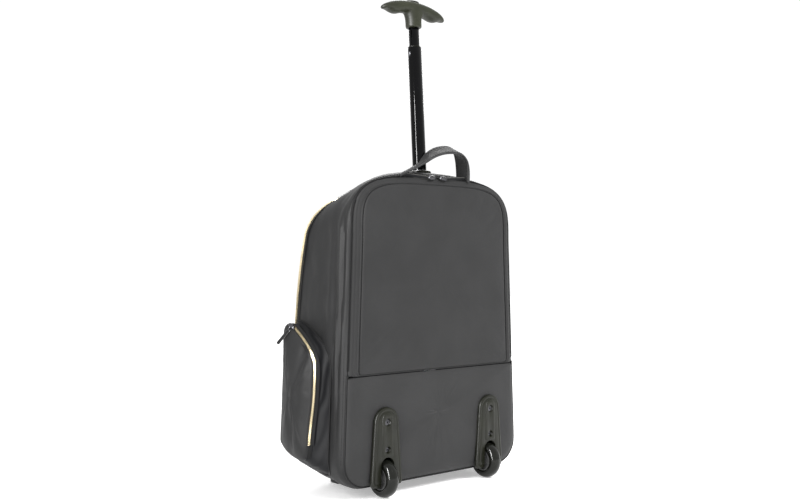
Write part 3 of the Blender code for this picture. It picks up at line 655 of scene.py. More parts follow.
def build_body():
    """The soft shell from the rear zipper round to the arch zipper, lined inside."""
    edge_depths = [0.0064, 0.0072, 0.009, 0.011, 0.0135, 0.016, 0.0185, 0.0215, 0.025, 0.029, 0.0335, 0.038]
    outer = [place(body_loop(depth), depth) for depth in edge_depths]
    outer += [forward_row(share) for share in np.linspace(0.0, 1.0, 27)]
    outer = np.array(outer)
    outer += normals_of(outer) * body_folds(outer)[..., None] * outward_sign(outer)
    inner = [forward_row(share, WALL) for share in (1.0, 0.6, 0.3, 0.0)]
    inner += [place(body_loop(depth, WALL), depth) for depth in (0.033, 0.0215, 0.0135, 0.009, 0.0064)]
    rows = np.concatenate([outer, np.array(inner)])
    # The side shell wears the darkened twill, which is painted shade
    piece = skin("body_fabric", rows, "nylon_painted_shade", "case", closed_rows=True)
    hole = placed([ring(POST_HOLE, reach) for reach in (-0.02, 0.02)], post_matrix())
    carve(piece, well_tools() + [loft_tool("post_hole", hole)])
    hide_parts("main_shell")


def outward_sign(rows):
    """1 or -1, so that a surface's normals point away from the bag's middle line."""
    return 1.0 if ((rows - DEEP_HEART) * normals_of(rows)).sum() > 0 else -1.0


def well_tools():
    """Boxes that clear the fabric round each wheel housing's well."""
    tools = []
    for side, sign in SIDES.items():
        low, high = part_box("wheel_housing_" + side)
        x = sign * WHEEL_X
        tools.append(box_tool("well_" + side, (x - WELL_HALF, low.y - 0.02, -0.02),
                              (x + WELL_HALF, high.y + 0.0004, WELL_TOP)))
    return tools


# ---------------------------------------------------------------- back panels

def settled(loop_points, centre, steps):
    """Rows that continue a loop to its middle, so that the last one can be closed without a crease."""
    return [centre + (loop_points - centre) * (1.0 - step) for step in steps]


def build_rear_panel():
    """The zip-open back panel: a rounded strip with a pressed crease, a sunk seam, and the padded middle."""
    rows = []
    for depth in np.linspace(0.0056, 0.0004, 13):
        side, drop = edge_values(depth)
        lift = 0.0006 * (1.0 - depth / 0.0056)
        crease = 0.0007 * ridge(depth, 0.0016, 0.0005)
        points = loop(side, SEAM + 0.0008 + lift, 0.004, CROWN - drop, *shoulder(depth))
        rows.append(place(points, depth + crease))
    side, drop = edge_values(0.0004)
    rise, power = shoulder(0.0)
    for inward, depth in [(0.0010, 0.0003), (0.0022, 0.0008), (0.0026, 0.0002), (0.0046, 0.0002),
                          (0.0052, 0.0020), (0.0058, 0.0020), (0.0064, 0.0006)]:
        points = loop(side + inward, SEAM + 0.0014 + inward * 0.3, 0.004, CROWN - drop - inward * 0.35,
                      rise - inward, power)
        rows.append(place(points, depth))
    seam = rows[-2]
    rim = len(rows)
    side, drop = side + 0.0046, drop - 0.0012
    for inward in (0.0032, 0.005, 0.0075, 0.011, 0.016, 0.023, 0.032, 0.043, 0.056, 0.071, 0.088, 0.105):
        points = loop(side + inward, SEAM + 0.0014 + inward * 0.95, 0.004 + 0.18 * inward,
                      CROWN - drop - inward, max(rise - 0.4 * inward, 0.02), max(power - 10.0 * inward, 2.6))
        depth = -0.0050 * (1.0 - math.exp(-(inward - 0.002) / 0.010))
        tuck = 0.0042 * np.exp(-(points[:, 1] - SEAM) / 0.016)
        rows.append(place(points, depth + np.minimum(tuck, -depth)))
    middle = rows[-1].mean(axis=0)
    rows += settled(rows[-1], middle, (0.2, 0.4, 0.6, 0.8, 0.96))
    outer = np.array(rows)
    soft = 0.0012 * clouds(outer * [1.0, 1.0, 0.8], 13.0, 5) + 0.0005 * clouds(outer, 44.0, 6)
    soft *= np.clip((np.arange(len(outer)) - rim) / 4.0, 0.0, 1.0)[:, None]
    outer[..., 1] += soft
    back = []
    for inward, depth in ((0.0, 0.0056), (0.006, 0.0048)):
        points = loop(0.0150 + inward, SEAM + 0.010 + inward, 0.006, 0.448 - inward, 0.085, 3.6)
        back.append(place(points, depth))
    back += settled(back[-1], back[-1].mean(axis=0), (0.5, 0.96))
    piece = skin("rear_panel_fabric", np.concatenate([np.array(back)[::-1], outer]), "nylon", "rear_panel",
                 caps=True)
    settle(piece, np.arange(len(piece.data.vertices)) // AROUND > len(back) + rim + 1, 2.0, 0.0030)
    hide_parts("rear_flap")
    keep = seam[:, 2] > SEAM + 0.004
    path = np.roll(seam, -int(np.argmax(keep)), axis=0)
    path = path[path[:, 2] > SEAM + 0.004]
    stitches("rear_panel_stitches", path + [0.0, -0.0012, 0.0], (0.0, -1.0, 0.0), "rear_panel", "tape")


def build_lower_panel():
    """The fixed, smoother cushion under the cross seam; its corded edge round the bottom corners is laid by
    build_rear_zipper.
    """
    rows = []
    for depth in np.linspace(0.0056, 0.0004, 9):
        side, _ = edge_values(depth)
        rows.append(place(loop(side * 0.9, FLOOR + 0.85 * side, 0.035, SEAM, 0.006, 12.0), depth))
    for inward in (0.003, 0.006, 0.010, 0.016, 0.025, 0.036, 0.050):
        corner = max(0.035 - 0.3 * inward, 0.012)
        floor = FLOOR + 0.0150 + inward * 0.95
        points = loop(0.0165 + inward, floor, corner, SEAM - 0.55 * inward, 0.006, 12.0)
        rows.append(place(points, 0.0004 - 0.0026 * (1.0 - math.exp(-inward / 0.014))))
    rows += settled(rows[-1], rows[-1].mean(axis=0), (0.25, 0.5, 0.75, 0.96))
    outer = np.array(rows)
    soft = 0.0011 * clouds(outer * [1.0, 1.0, 0.7], 17.0, 8) + 0.0003 * clouds(outer, 70.0, 9)
    outer[..., 1] += soft * np.clip((np.arange(len(outer)) - 8) / 3.0, 0.0, 1.0)[:, None]
    back = []
    for inward, depth in ((0.0, 0.0056), (0.006, 0.0048)):
        points = loop(0.0150 + inward, FLOOR + 0.018 + inward, 0.026, SEAM - 0.008, 0.006, 12.0)
        back.append(place(points, depth))
    back += settled(back[-1], back[-1].mean(axis=0), (0.5, 0.96))
    piece = skin("lower_panel_fabric", np.concatenate([np.array(back)[::-1], outer]), "nylon_lower", "case",
                 caps=True)
    settle(piece, np.arange(len(piece.data.vertices)) // AROUND > len(back) + 10, 1.5, 0.0015)
    carve(piece, well_tools())
    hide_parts("lower_back_panel")


def above(points, low):
    """The stretch of a closed loop of points above a height, in order from +X over the top to -X."""
    return points[points[:, 2] > low]


def build_rear_zipper():
    """The dark coil zipper and its tape in the groove along the back edge, from cross seam to cross seam."""
    points = place(body_loop(0.0060), 0.0060)
    path = above(points, SEAM + 0.004)
    outward = path - HEART
    outward[:, 1] = -0.6 * np.linalg.norm(outward[:, [0, 2]], axis=1)
    ribbon("rear_zipper_tape", path + [0, 0.0002, 0], outward, 0.0050, 0.0003, "tape", "case")
    fine, up = even(path, 0.0009, outward)
    tangent, lift, side = frames_along(fine, up)
    wave = np.sin(np.arange(len(fine)) * math.pi / 1.5)[:, None]
    coil = fine + lift * 0.0006 + side * wave * 0.0002
    cord_piece("rear_zipper_coil", coil, up, 0.0011, "tape", "case", 0.7)
    seam = above(place(body_loop(0.0102), 0.0102), 0.05)
    stitches("rear_edge_stitches", seam, seam - HEART, "case", "tape")
    corded = place(body_loop(0.0058, -0.0005), 0.0062)
    lower = corded[corded[:, 2] <= SEAM + 0.004]
    lower = lower[np.argsort(np.arctan2(lower[:, 0], MIDDLE_HEIGHT - lower[:, 2]))]
    cord_piece("lower_panel_piping", *even(lower, 0.004, lower - HEART), 0.0016, "piping", "case")


# ---------------------------------------------------------------- front

FRONT_BULGE = 0.0292

def front_rows(scales):
    """The arch outline drawn in to each scale and brought forward of the zipper."""
    arch = arch_loop()
    rows = []
    for scale, forward in scales:
        points = np.stack([arch[:, 0] * scale, MIDDLE_HEIGHT + (arch[:, 1] - MIDDLE_HEIGHT) * scale], 1)
        reference = arch[:, 1] if scale > 0.97 else points[:, 1]
        rows.append(place(points, zip_depth(reference) + forward))
    return np.array(rows)


def front_surface(scale):
    """Outer bulge of the front at a share of the outline: steep at the rim, nearly flat in the middle."""
    return FRONT_BULGE - 0.0284 + 0.0284 * (1.0 - max(min((scale - 0.60) / 0.40, 1.0), 0.0) ** 4.0) ** 1.2


def build_front():
    """The padded front as one closed skin, cut along the hinge into the panel and its fixed base."""
    scales = [1.0, 0.998, 0.994, 0.988, 0.98, 0.97, 0.955, 0.94, 0.92, 0.895, 0.865, 0.83, 0.79, 0.74, 0.68,
              0.60, 0.52, 0.43, 0.34, 0.25, 0.16, 0.08, 0.02]
    outer = front_rows([(scale, front_surface(scale)) for scale in scales])
    soft = 0.0024 * clouds(outer * [1.0, 1.0, 0.7], 14.0, 11) + 0.0009 * clouds(outer, 40.0, 12)
    fade = np.clip((1.0 - np.array(scales)) / 0.05, 0.0, 1.0)[:, None]
    outer[..., 1] += np.minimum(soft * fade, 0.0009)
    inner = front_rows([(scale * 0.978, front_surface(scale) - 0.0040) for scale in scales[6:]])
    rim = front_rows([(0.978, 0.0010)])
    rows = np.concatenate([outer[::-1], rim, inner])
    for name, body, node, look, bottom, top in (
            ("front_panel_fabric", "front_panel", "front_flap", "nylon", -0.1, FRONT_HINGE),
            # The fixed base wears the darkened twill, which is painted shade
            ("front_base_fabric", "case", "front_base_panel", "nylon_painted_shade", FRONT_HINGE - 0.0007, 0.8)):
        piece = skin(name, rows, look, body, caps=True)
        carve(piece, [box_tool("other_side_of_hinge", (-0.3, -0.3, bottom), (0.3, 0.4, top))])
        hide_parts(node)
    build_front_pocket()


def build_front_pocket():
    """The flat organiser pocket on the front, with its own short zipper and stitched border."""
    low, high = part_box("front_pocket")
    half = high.x
    middle = (low.z + high.z) / 2
    tall = (high.z - low.z) / 2

    def outline_at(scale, forward, power=7.0):
        angles = np.arange(AROUND) * 2 * math.pi / AROUND
        cosine, sine = np.cos(angles), np.sin(angles)
        x = half * scale * np.sign(cosine) * np.abs(cosine) ** (2 / power)
        z = middle + tall * scale * np.sign(sine) * np.abs(sine) ** (2 / power)
        return place(np.stack([x, z], 1), zip_depth(z) + FRONT_BULGE + forward)

    steps = [(0.6, 0.0004), (0.97, 0.0004), (1.0, 0.0016), (1.0, 0.0040), (0.992, 0.0062), (0.978, 0.0076),
             (0.96, 0.0082), (0.945, 0.0078), (0.92, 0.0092), (0.86, 0.0104), (0.75, 0.0112), (0.6, 0.0116),
             (0.4, 0.0118), (0.2, 0.0118), (0.05, 0.0118)]
    rows = np.array([outline_at(*step) for step in steps])
    rows[8:, :, 1] += np.minimum(0.0012 * clouds(rows[8:], 22.0, 14), 0.0)
    piece = skin("front_pocket_fabric", rows, "nylon", "front_panel", caps=True)
    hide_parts("front_pocket")
    border = outline_at(0.945, 0.0080)
    stitches("front_pocket_stitches", border, (0.0, 1.0, 0.0), "front_panel", "thread")
    line_x = np.linspace(-half * 0.8, half * 0.8, 60)
    line_z = np.full(60, middle + tall * 0.62)
    line = np.stack([line_x, BACK_Y + zip_depth(line_z) + FRONT_BULGE + 0.0106, line_z], 1)
    ribbon("front_pocket_zip_tape", line, (0.0, 1.0, 0.0), 0.016, 0.0004, "tape", "front_panel")
    zipper_teeth("front_pocket_zip_teeth", line + [0, 0.0006, 0], (0.0, 1.0, 0.0), "front_panel")


def build_arch_zipper():
    """The pale gold metal zipper over the shoulders, on the body's side of the opening."""
    rim, behind = forward_row(1.0), forward_row(0.80)
    toward = behind - rim
    toward /= np.linalg.norm(toward, axis=1)[:, None]
    wider = arch_loop(-0.004)
    outward = place(wider, rim[:, 1] - BACK_Y) - rim
    outward -= toward * (outward * toward).sum(1)[:, None]
    outward /= np.linalg.norm(outward, axis=1)[:, None]
    keep = rim[:, 2] > 0.102
    rim, toward, outward = rim[keep], toward[keep], outward[keep]
    rim, toward, outward = even(rim, 0.002, toward, outward)
    ribbon("arch_zipper_tape", rim + toward * 0.0050 + outward * 0.0004, outward, 0.0110, 0.0004, "tape",
                  "case")
    path = rim + toward * 0.0022 + outward * 0.0007
    teeth = zipper_teeth("arch_zipper_teeth", path, outward, "case")
    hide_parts("arch_zipper")
    stitches("arch_edge_stitches", rim + toward * 0.0120 + outward * 0.0012, outward, "case", "tape")


# ---------------------------------------------------------------- side pockets

# The pocket as (depth, height): its seam on the bag, and the outer edge where the panel starts
POCKET_BASE = [
    (0.124, 0.05), (0.124, 0.105), (0.124, 0.175), (0.124, 0.236), (0.121, 0.246),
    (0.111, 0.2475), (0.088, 0.2385), (0.066, 0.2265), (0.049, 0.213), (0.0395, 0.199),
    (0.0365, 0.175), (0.036, 0.13), (0.036, 0.085), (0.037, 0.05), (0.041, 0.037),
    (0.052, 0.032), (0.084, 0.0315), (0.108, 0.034), (0.1195, 0.04),
]
POCKET_FACE = [
    (0.124, 0.078), (0.124, 0.125), (0.124, 0.175), (0.124, 0.232), (0.121, 0.243),
    (0.111, 0.2445), (0.089, 0.2325), (0.068, 0.2175), (0.0545, 0.204), (0.0478, 0.191),
    (0.0465, 0.172), (0.0483, 0.14), (0.0525, 0.105), (0.0548, 0.078), (0.059, 0.061),
    (0.068, 0.0545), (0.088, 0.055), (0.108, 0.061), (0.1195, 0.0685),
]
POCKET_MIDDLE = np.array([0.088, 0.148])
POCKET_HEART = np.array([0.0, BACK_Y + POCKET_MIDDLE[0], POCKET_MIDDLE[1]])
POCKET_SIDE = 0.0185
POCKET_AROUND = 200


def smooth_loop(corners):
    """A closed Catmull-Rom curve through the corners, at even spacing."""
    corners = np.asarray(corners, float)
    dense = []
    for index in range(len(corners)):
        a, b, c, d = (corners[(index + shift) % len(corners)] for shift in (-1, 0, 1, 2))
        dense += [catmull_rom(a, b, c, d, t) for t in np.linspace(0.0, 1.0, 16, endpoint=False)]
    return even_round(np.array(dense + [dense[0]]), POCKET_AROUND)


def pocket_row(sign, scale, out, shape, tuck=0.0):
    """One level of the pocket; tuck, from 1 on the bag to 0 outside, makes it follow the bottom corner."""
    drawn = POCKET_MIDDLE + (shape - POCKET_MIDDLE) * scale
    inset = tuck * corner_inset(drawn[:, 0], drawn[:, 1])
    x = sign * (half_width(drawn[:, 1]) + 0.0005 + out - inset)
    return np.stack([x, BACK_Y + drawn[:, 0], drawn[:, 1]], 1)


def build_side_pockets():
    """A folded gusset slanting out from the seam on the bag, and the zipped panel on its outer edge."""
    base, face = smooth_loop(POCKET_BASE), smooth_loop(POCKET_FACE)
    for side, sign in SIDES.items():
        shares = np.linspace(0.0, 1.0, 13)
        rows = []
        for share in shares:
            waist = 1.0 - 0.012 * math.sin(math.pi * share)
            shape = base + (face - base) * share
            rows.append(pocket_row(sign, waist, POCKET_SIDE * share - 0.0008, shape, 1.0 - share))
        for share in (1.0, 0.5, 0.0):
            shape = base + (face - base) * share
            rows.append(pocket_row(sign, 0.955, POCKET_SIDE * share - 0.0008, shape, 1.0 - share))
        rows = np.array(rows)
        lean = 1.6 * rows[..., 0] * sign + 0.5 * rows[..., 2]
        crumple = 0.0011 * np.sin(lean * 260.0 + 5.0 * clouds(rows, 22.0, 23))
        crumple += 0.0016 * clouds(rows, 46.0, 20)
        fade = np.sin(shares * math.pi) ** 0.7
        inward = rows[:13] - POCKET_HEART
        inward[..., 0] = 0.0
        inward /= np.linalg.norm(inward, axis=2)[..., None]
        rows[:13] += inward * (crumple[:13] * fade[:, None])[..., None]
        # The gusset wears the near-black twill as painted shade
        gusset = skin("pocket_gusset_fabric_" + side, rows, "nylon_dark_and_shade", "case", closed_rows=True)
        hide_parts("side_pocket_gusset_" + side)
        build_pocket_panel(side, sign, face, POCKET_SIDE + 0.0004)
        seam = pocket_row(sign, 1.008, 0.0006, base, 1.0)
        away = np.broadcast_to([sign * 1.0, 0.0, 0.0], seam.shape)
        cord_piece("pocket_seam_roll_" + side, seam, away, 0.0012, "piping", "case", 0.7, closed=True)


def build_pocket_panel(side, sign, shape, rim):
    """The padded outer face of the pocket, with slack folds, and its turned-in back."""
    steps = [(1.0, 0.0002), (1.001, 0.0016), (0.994, 0.0030), (0.980, 0.0044), (0.955, 0.0060),
             (0.92, 0.0077), (0.87, 0.0098), (0.80, 0.0120), (0.71, 0.0140), (0.60, 0.0155),
             (0.46, 0.0164), (0.32, 0.0168), (0.18, 0.0170), (0.05, 0.0170)]
    rows = np.array([pocket_row(sign, scale, rim + out, shape) for scale, out in steps])
    depth = rows[..., 1] - BACK_Y
    height = rows[..., 2]
    fade = np.clip((1.0 - np.array([scale for scale, _ in steps])) / 0.10, 0.0, 1.0)[:, None]
    lean = depth + 0.16 * (height - 0.13)
    folds = -0.0022 * ridge(lean, 0.078, 0.0070) + 0.0010 * ridge(lean, 0.066, 0.006)
    folds += -0.0018 * ridge(lean - 0.25 * (height - 0.05), 0.100, 0.008)
    folds *= np.clip((height - 0.04) / 0.05, 0.0, 1.0)
    soft = -0.0010 * (0.4 + clouds(rows * [1.0, 1.2, 0.6], 24.0, 31)) + 0.0004 * clouds(rows, 80.0, 32)
    rows[..., 0] += sign * fade * (folds + soft)
    inside = np.array([pocket_row(sign, scale, rim + out, shape)
                       for scale, out in [(0.965, 0.0002), (0.93, 0.0045), (0.86, 0.0064), (0.74, 0.0078)]])
    # The pocket's outer face wears the darkened twill, which is painted shade
    panel = skin("pocket_panel_fabric_" + side, np.concatenate([rows[::-1], inside]), "nylon_painted_shade",
                 "pocket_door_" + side, caps=True)
    settle(panel, np.arange(len(panel.data.vertices)) // POCKET_AROUND < len(steps) - 5, 2.0, 0.0030)
    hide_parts("side_pocket_panel_" + side)
    build_pocket_zipper(side, sign, shape, rim)


def build_pocket_zipper(side, sign, shape, rim):
    """The L-shaped gold zipper: along the sloping top, round the rear corner and down the back edge."""
    line = pocket_row(sign, 1.0, rim + 0.0006, shape)
    depth = line[:, 1] - BACK_Y
    keep = ((line[:, 2] > 0.079) & (depth < 0.060)) | ((line[:, 2] > 0.19) & (depth < 0.104))
    path = line[keep]
    start = int(np.argmax(np.linalg.norm(np.roll(path, 1, axis=0) - path, axis=1)))
    path = np.roll(path, -start, axis=0)
    away = path - POCKET_HEART
    away[:, 0] = 0.0
    away /= np.linalg.norm(away, axis=1)[:, None]
    outward = away * 0.75 + np.array([sign * 0.66, 0.0, 0.0])
    body = "pocket_door_" + side
    ribbon("pocket_zip_tape_" + side, path + outward * 0.0008, outward, 0.0135, 0.0007, "tape", body)
    zipper_teeth("pocket_zip_teeth_" + side, path + outward * 0.0019, outward, body, width=0.0040)
    tail = pocket_row(sign, 1.0, rim + 0.0006, shape)
    low = tail[(tail[:, 2] > 0.058) & (tail[:, 2] <= 0.081) & (tail[:, 1] - BACK_Y < 0.064)]
    low = low[np.argsort(-low[:, 2])]
    away = np.array([sign * 0.66, -0.75, 0.0])
    ribbon("pocket_zip_tail_" + side, low, np.broadcast_to(away, low.shape), 0.0085, 0.0007, "tape", body)


# ---------------------------------------------------------------- sliders and pulls

# How far each slider has settled from its nominal place, and which way its top faces on the right side
SLIDER_SETTLE = {"rear": (0.0, -0.0030, -0.0036), "front": (0.0, 0.0, 0.0), "pocket": (0.0, 0.0, 0.0)}
PULL_HALF_WIDTH = {"rear": 0.0025, "front": 0.0042, "pocket": 0.0025}
PULL_PUFF = 0.0007
OUTWARD = {"rear": (0.0, -0.62, 0.78), "front": (0.0, 0.48, 0.877), "pocket": (0.70, -0.352, 0.621)}


def build_sliders():
    """Each slider has a body, a bail and a fabric pull with piped edges, placed by their joints."""
    for prefix, look in (("rear", "gunmetal"), ("front", "gold"), ("pocket", "gunmetal")):
        for side in SIDES:
            zip_body = f"{prefix}_zip_{side}"
            joint = next(j for j in frame["joints"] if j["name"] == f"{prefix}_pull_{side}_hinge")
            slide = next(j for j in frame["joints"] if j["name"] == f"{prefix}_slider_{side}_slide")
            hinge = Vector(joint["pos_m"]) + Vector(SLIDER_SETTLE[prefix])
            axis = Vector(joint["axis"]).normalized()
            corners = [Vector(v.co) for v in frame["nodes"][f"{prefix}_pull_{side}"].data.vertices]
            tip = max(corners, key=lambda point: (point - hinge).length)
            along = tip - hinge
            along = (along - axis * along.dot(axis)).normalized()
            up = axis.cross(along).normalized()
            reach = max((point - hinge).dot(along) for point in corners)
            build_slider_body(prefix, side, Vector(slide["axis"]).normalized(), look, zip_body)
            build_bridge(prefix, side, hinge, axis, along, up, look, zip_body)
            build_pull(prefix, side, hinge, axis, along, up, reach)


def build_slider_body(prefix, side, travel, look, body):
    """A cast slider: two rounded lobes at its nose, one at its tail, a waist between and a domed top."""
    low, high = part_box(f"{prefix}_slider_{side}")
    centre = (low + high) / 2 + Vector(SLIDER_SETTLE[prefix])
    outward = Vector(OUTWARD[prefix])
    outward.x *= SIDES[side]
    outward = (outward - travel * outward.dot(travel)).normalized()
    across = travel.cross(outward)
    rows = []
    for scale, lift in [(0.80, -0.0018), (1.0, -0.0011), (1.0, -0.0003), (0.86, 0.0001), (1.0, 0.0006),
                        (0.97, 0.0016), (0.82, 0.0023), (0.5, 0.0027), (0.1, 0.0028)]:
        row = []
        for turn in np.arange(40) * 2 * math.pi / 40:
            waist = 1.0 - 0.22 * math.sin(turn) ** 2 + 0.10 * math.cos(2 * turn + 0.6)
            row.append(centre + travel * (0.0066 * scale * math.cos(turn) * waist)
                       + across * (0.0042 * scale * math.sin(turn) * waist) + outward * lift)
        rows.append(row)
    cast = skin(f"{prefix}_slider_cast_{side}", rows, look, body, caps=True, smooth=50.0)
    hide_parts(f"{prefix}_slider_{side}")


def build_bridge(prefix, side, hinge, axis, along, up, look, body):
    """A small bent bail on the slider that the pull's loop hangs from."""
    start = hinge - along * 0.0075 + up * 0.0004
    shares = np.linspace(0, 1, 14)
    path = [start + along * (0.0085 * t) + up * (0.0022 * math.sin(math.pi * t)) for t in shares]
    cord_piece(f"{prefix}_bail_{side}", path, axis, 0.0007, look, body, 1.4)


def build_pull(prefix, side, hinge, axis, along, up, reach):
    """A folded fabric tab with a piped border, hung from a small metal ring."""
    body = f"{prefix}_tab_{side}"
    outline = []
    neck, broad = 0.0020, PULL_HALF_WIDTH[prefix]
    for t in np.linspace(0.0, 1.0, 22):
        width = neck + (broad - neck) * min(t / 0.25, 1.0)
        width *= math.sqrt(max(1.0 - max((t - 0.93) / 0.07, 0.0) ** 2 * 0.75, 0.05))
        outline.append((t * reach, width))
    section = ((-1, 0.3), (-0.8, 1), (0, 1.25), (0.8, 1), (1, 0.3), (1, -0.3), (0.8, -1), (0, -1.1), (-0.8, -1),
               (-1, -0.3))
    rows = [[hinge + along * t + axis * (width * a) + up * (PULL_PUFF * b) for a, b in section]
            for t, width in outline]
    # The pull tab wears the near-black twill as its own colour
    tab = skin(f"{prefix}_pull_fabric_{side}", rows, "nylon_dark_and_shade", body, caps=True)
    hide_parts(f"{prefix}_pull_{side}")
    path = [hinge + along * t + axis * width for t, width in outline]
    path += [hinge + along * t - axis * width for t, width in reversed(outline)]
    cord_piece(f"{prefix}_pull_piping_{side}", path, up, 0.00055, "piping_light", body, closed=True)
    turns = np.linspace(0.0, 2 * math.pi, 20, endpoint=False)
    path = [hinge + along * (0.0022 * math.cos(t) + 0.0010) + axis * (0.0024 * math.sin(t)) for t in turns]
    cord_piece(f"{prefix}_pull_ring_{side}", path, up, 0.0005, "gunmetal", body, closed=True)


# ---------------------------------------------------------------- carry loop

# The strap's two edges as (x, height): the back one, and the front one, which lies higher and leans right
LOOP_BACK_EDGE = [
    (-0.0745, 0.4598), (-0.056, 0.4680), (-0.040, 0.4745), (-0.022, 0.4830), (-0.005, 0.4912),
    (0.012, 0.4965), (0.030, 0.4990), (0.044, 0.4988), (0.0540, 0.4955), (0.0610, 0.4880),
    (0.0642, 0.4750), (0.0642, 0.4570),
]
LOOP_FRONT_EDGE = [
    (-0.044, 0.4672), (-0.032, 0.4725), (-0.0225, 0.4780), (-0.0140, 0.4830), (-0.006, 0.4930),
    (0.005, 0.5020), (0.0185, 0.5085), (0.036, 0.5122), (0.048, 0.5110), (0.0575, 0.5040),
    (0.0625, 0.4880), (0.0645, 0.4630),
]


def smooth_path(corners, count):
    """An open Catmull-Rom curve through the corners."""
    corners = np.asarray(corners, float)
    padded = np.vstack([2 * corners[0] - corners[1], corners, 2 * corners[-1] - corners[-2]])
    found = []
    for place_at in np.linspace(0.0, len(corners) - 1.0, count):
        index = min(int(place_at), len(corners) - 2)
        found.append(catmull_rom(*padded[index:index + 4], place_at - index))
    return np.array(found)


def build_carry_loop():
    """A padded strap folded from twill, with rolled edges, piping and two lines of stitching."""
    low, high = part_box("carry_handle")
    count = 96
    edges = []
    for corners, y in ((LOOP_BACK_EDGE, low.y + 0.0014), (LOOP_FRONT_EDGE, high.y - 0.0014)):
        flat = smooth_path(corners, count)
        edges.append(np.stack([flat[:, 0], np.full(count, y), flat[:, 1]], 1))
    back, front = edges
    across = (front - back) / 2
    run = np.gradient((back + front) / 2, axis=0)
    up = np.cross(run, across)
    up /= np.linalg.norm(up, axis=1)[:, None]
    rows = []
    for index in range(count):
        section = []
        for turn in np.arange(28) * 2 * math.pi / 28:
            a = math.copysign(abs(math.cos(turn)) ** 0.35, math.cos(turn))
            b = math.copysign(abs(math.sin(turn)) ** 0.75, math.sin(turn))
            lift = 0.0019 * b * (1.0 + 0.22 * ridge(abs(a), 0.86, 0.10) - 0.18 * ridge(abs(a), 0.70, 0.05))
            section.append((back[index] + front[index]) / 2 + across[index] * a + up[index] * lift)
        rows.append(section)
    strap = skin("carry_strap", rows, "webbing", "loop", caps=True, smooth=60.0)
    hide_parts("carry_handle")
    for label, edge, sign in (("back", back, 1.0), ("front", front, -1.0)):
        inset = edge + sign * across * 0.28
        stitches(f"carry_strap_stitches_{label}", inset + up * 0.0018, up, "loop", "thread")
        stitches(f"carry_strap_under_stitches_{label}", inset - up * 0.0018, -up, "loop", "thread")
        cord_piece(f"carry_strap_piping_{label}", edge, up, 0.0009, "thread", "loop", 1.2)


# ---------------------------------------------------------------- post and grip

def post_matrix():
    """The frame of the post: its own Z runs along the telescope, through the bezel."""
    joint = next(j for j in frame["joints"] if j["name"] == "middle_stage_slide")
    axis = Vector(joint["axis"]).normalized()
    low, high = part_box("handle_top_bezel")
    turn = Vector((0, 0, 1)).rotation_difference(axis).to_matrix().to_4x4()
    return Matrix.Translation((low + high) / 2) @ turn


def span_along(node, matrix):
    """Lowest and highest reach of a node along the post."""
    inverse = matrix.inverted()
    points = [inverse @ v.co for v in frame["nodes"][node].data.vertices]
    return min(p.z for p in points), max(p.z for p in points)


def fine_tube(name, node, radii, wall, look, body, matrix):
    """An oval tube with a rolled lip at its top."""
    lip = 0.0006
    low, high = span_along(node, matrix)
    inside = (radii[0] - wall, radii[1] - wall)
    rows = [ring(radii, low, 64), ring(radii, high - lip, 64)]
    rows += [ring((radii[0] - lip * 0.5, radii[1] - lip * 0.5), high - lip * 0.3, 64)]
    rows += [ring((radii[0] - lip, radii[1] - lip), high, 64), ring(inside, high, 64), ring(inside, low, 64)]
    piece = skin(name, placed(rows, matrix), look, body, closed_rows=True, smooth=50.0)
    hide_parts(node)
    return piece


def build_post():
    """The three tubes of the telescope, the bush between the drawn-out ones and the grommet at its foot."""
    matrix = post_matrix()
    fine_tube("sleeve_tube_fine", "outer_sleeve_tube", (0.0127, 0.0115), 0.0009, "steel", "case", matrix)
    middle = fine_tube("middle_tube_fine", "middle_tube", (0.0110, 0.0098), 0.0013, "tube", "middle_stage",
                       matrix)
    fine_tube("inner_tube_fine", "inner_tube", (0.0086, 0.0074), 0.0010, "tube", "inner_stage", matrix)
    low, high = span_along("middle_tube_bush", matrix)
    rows = [ring((0.0105, 0.0093), low), ring((0.0105, 0.0093), high - 0.0003), ring((0.0102, 0.0090), high),
            ring((0.0091, 0.0079), high), ring((0.0090, 0.0078), high - 0.0002), ring((0.0090, 0.0078), low)]
    bush = skin("middle_bush_fine", placed(rows, matrix), "olive", "middle_stage", closed_rows=True)
    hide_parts("middle_tube_bush")
    low, high = span_along("handle_top_bezel", matrix)
    rows = [ring((0.0180, 0.0162), low), ring((0.0182, 0.0164), high - 0.0028),
            ring((0.0174, 0.0156), high - 0.0016), ring((0.0156, 0.0138), high - 0.0015),
            ring((0.0140, 0.0127), high - 0.0016), ring((0.0131, 0.0119), high - 0.0021),
            ring((0.0131, 0.0119), low)]
    bezel = skin("bezel_fine", placed(rows, matrix), "olive", "case", closed_rows=True)
    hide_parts("handle_top_bezel")
    button_low, button_high = span_along("stage_lock_button", matrix)
    build_lock_window(middle, matrix, (button_low + button_high) / 2)
    build_grip(matrix)


def build_lock_window(middle, matrix, height):
    """The oval hole near the middle tube's top with the spring pin showing in it."""
    turn = matrix @ Matrix.Translation((0, 0, height)) @ Matrix.Rotation(math.pi / 2, 4, "Y")
    window = placed([ring((0.0048, 0.0026), along, 28) for along in (-0.016, -0.006)], turn)
    carve(middle, [loft_tool("window", window)])
    rows = [ring((0.0044, 0.0022), -0.0096, 28), ring((0.0044, 0.0022), -0.0106, 28),
            ring((0.0038, 0.0017), -0.0113, 28), ring((0.0018, 0.0008), -0.0116, 28)]
    pin = skin("lock_pin_fine", placed(rows, turn), "gunmetal", "middle_stage", caps=True)
    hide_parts("stage_lock_button")


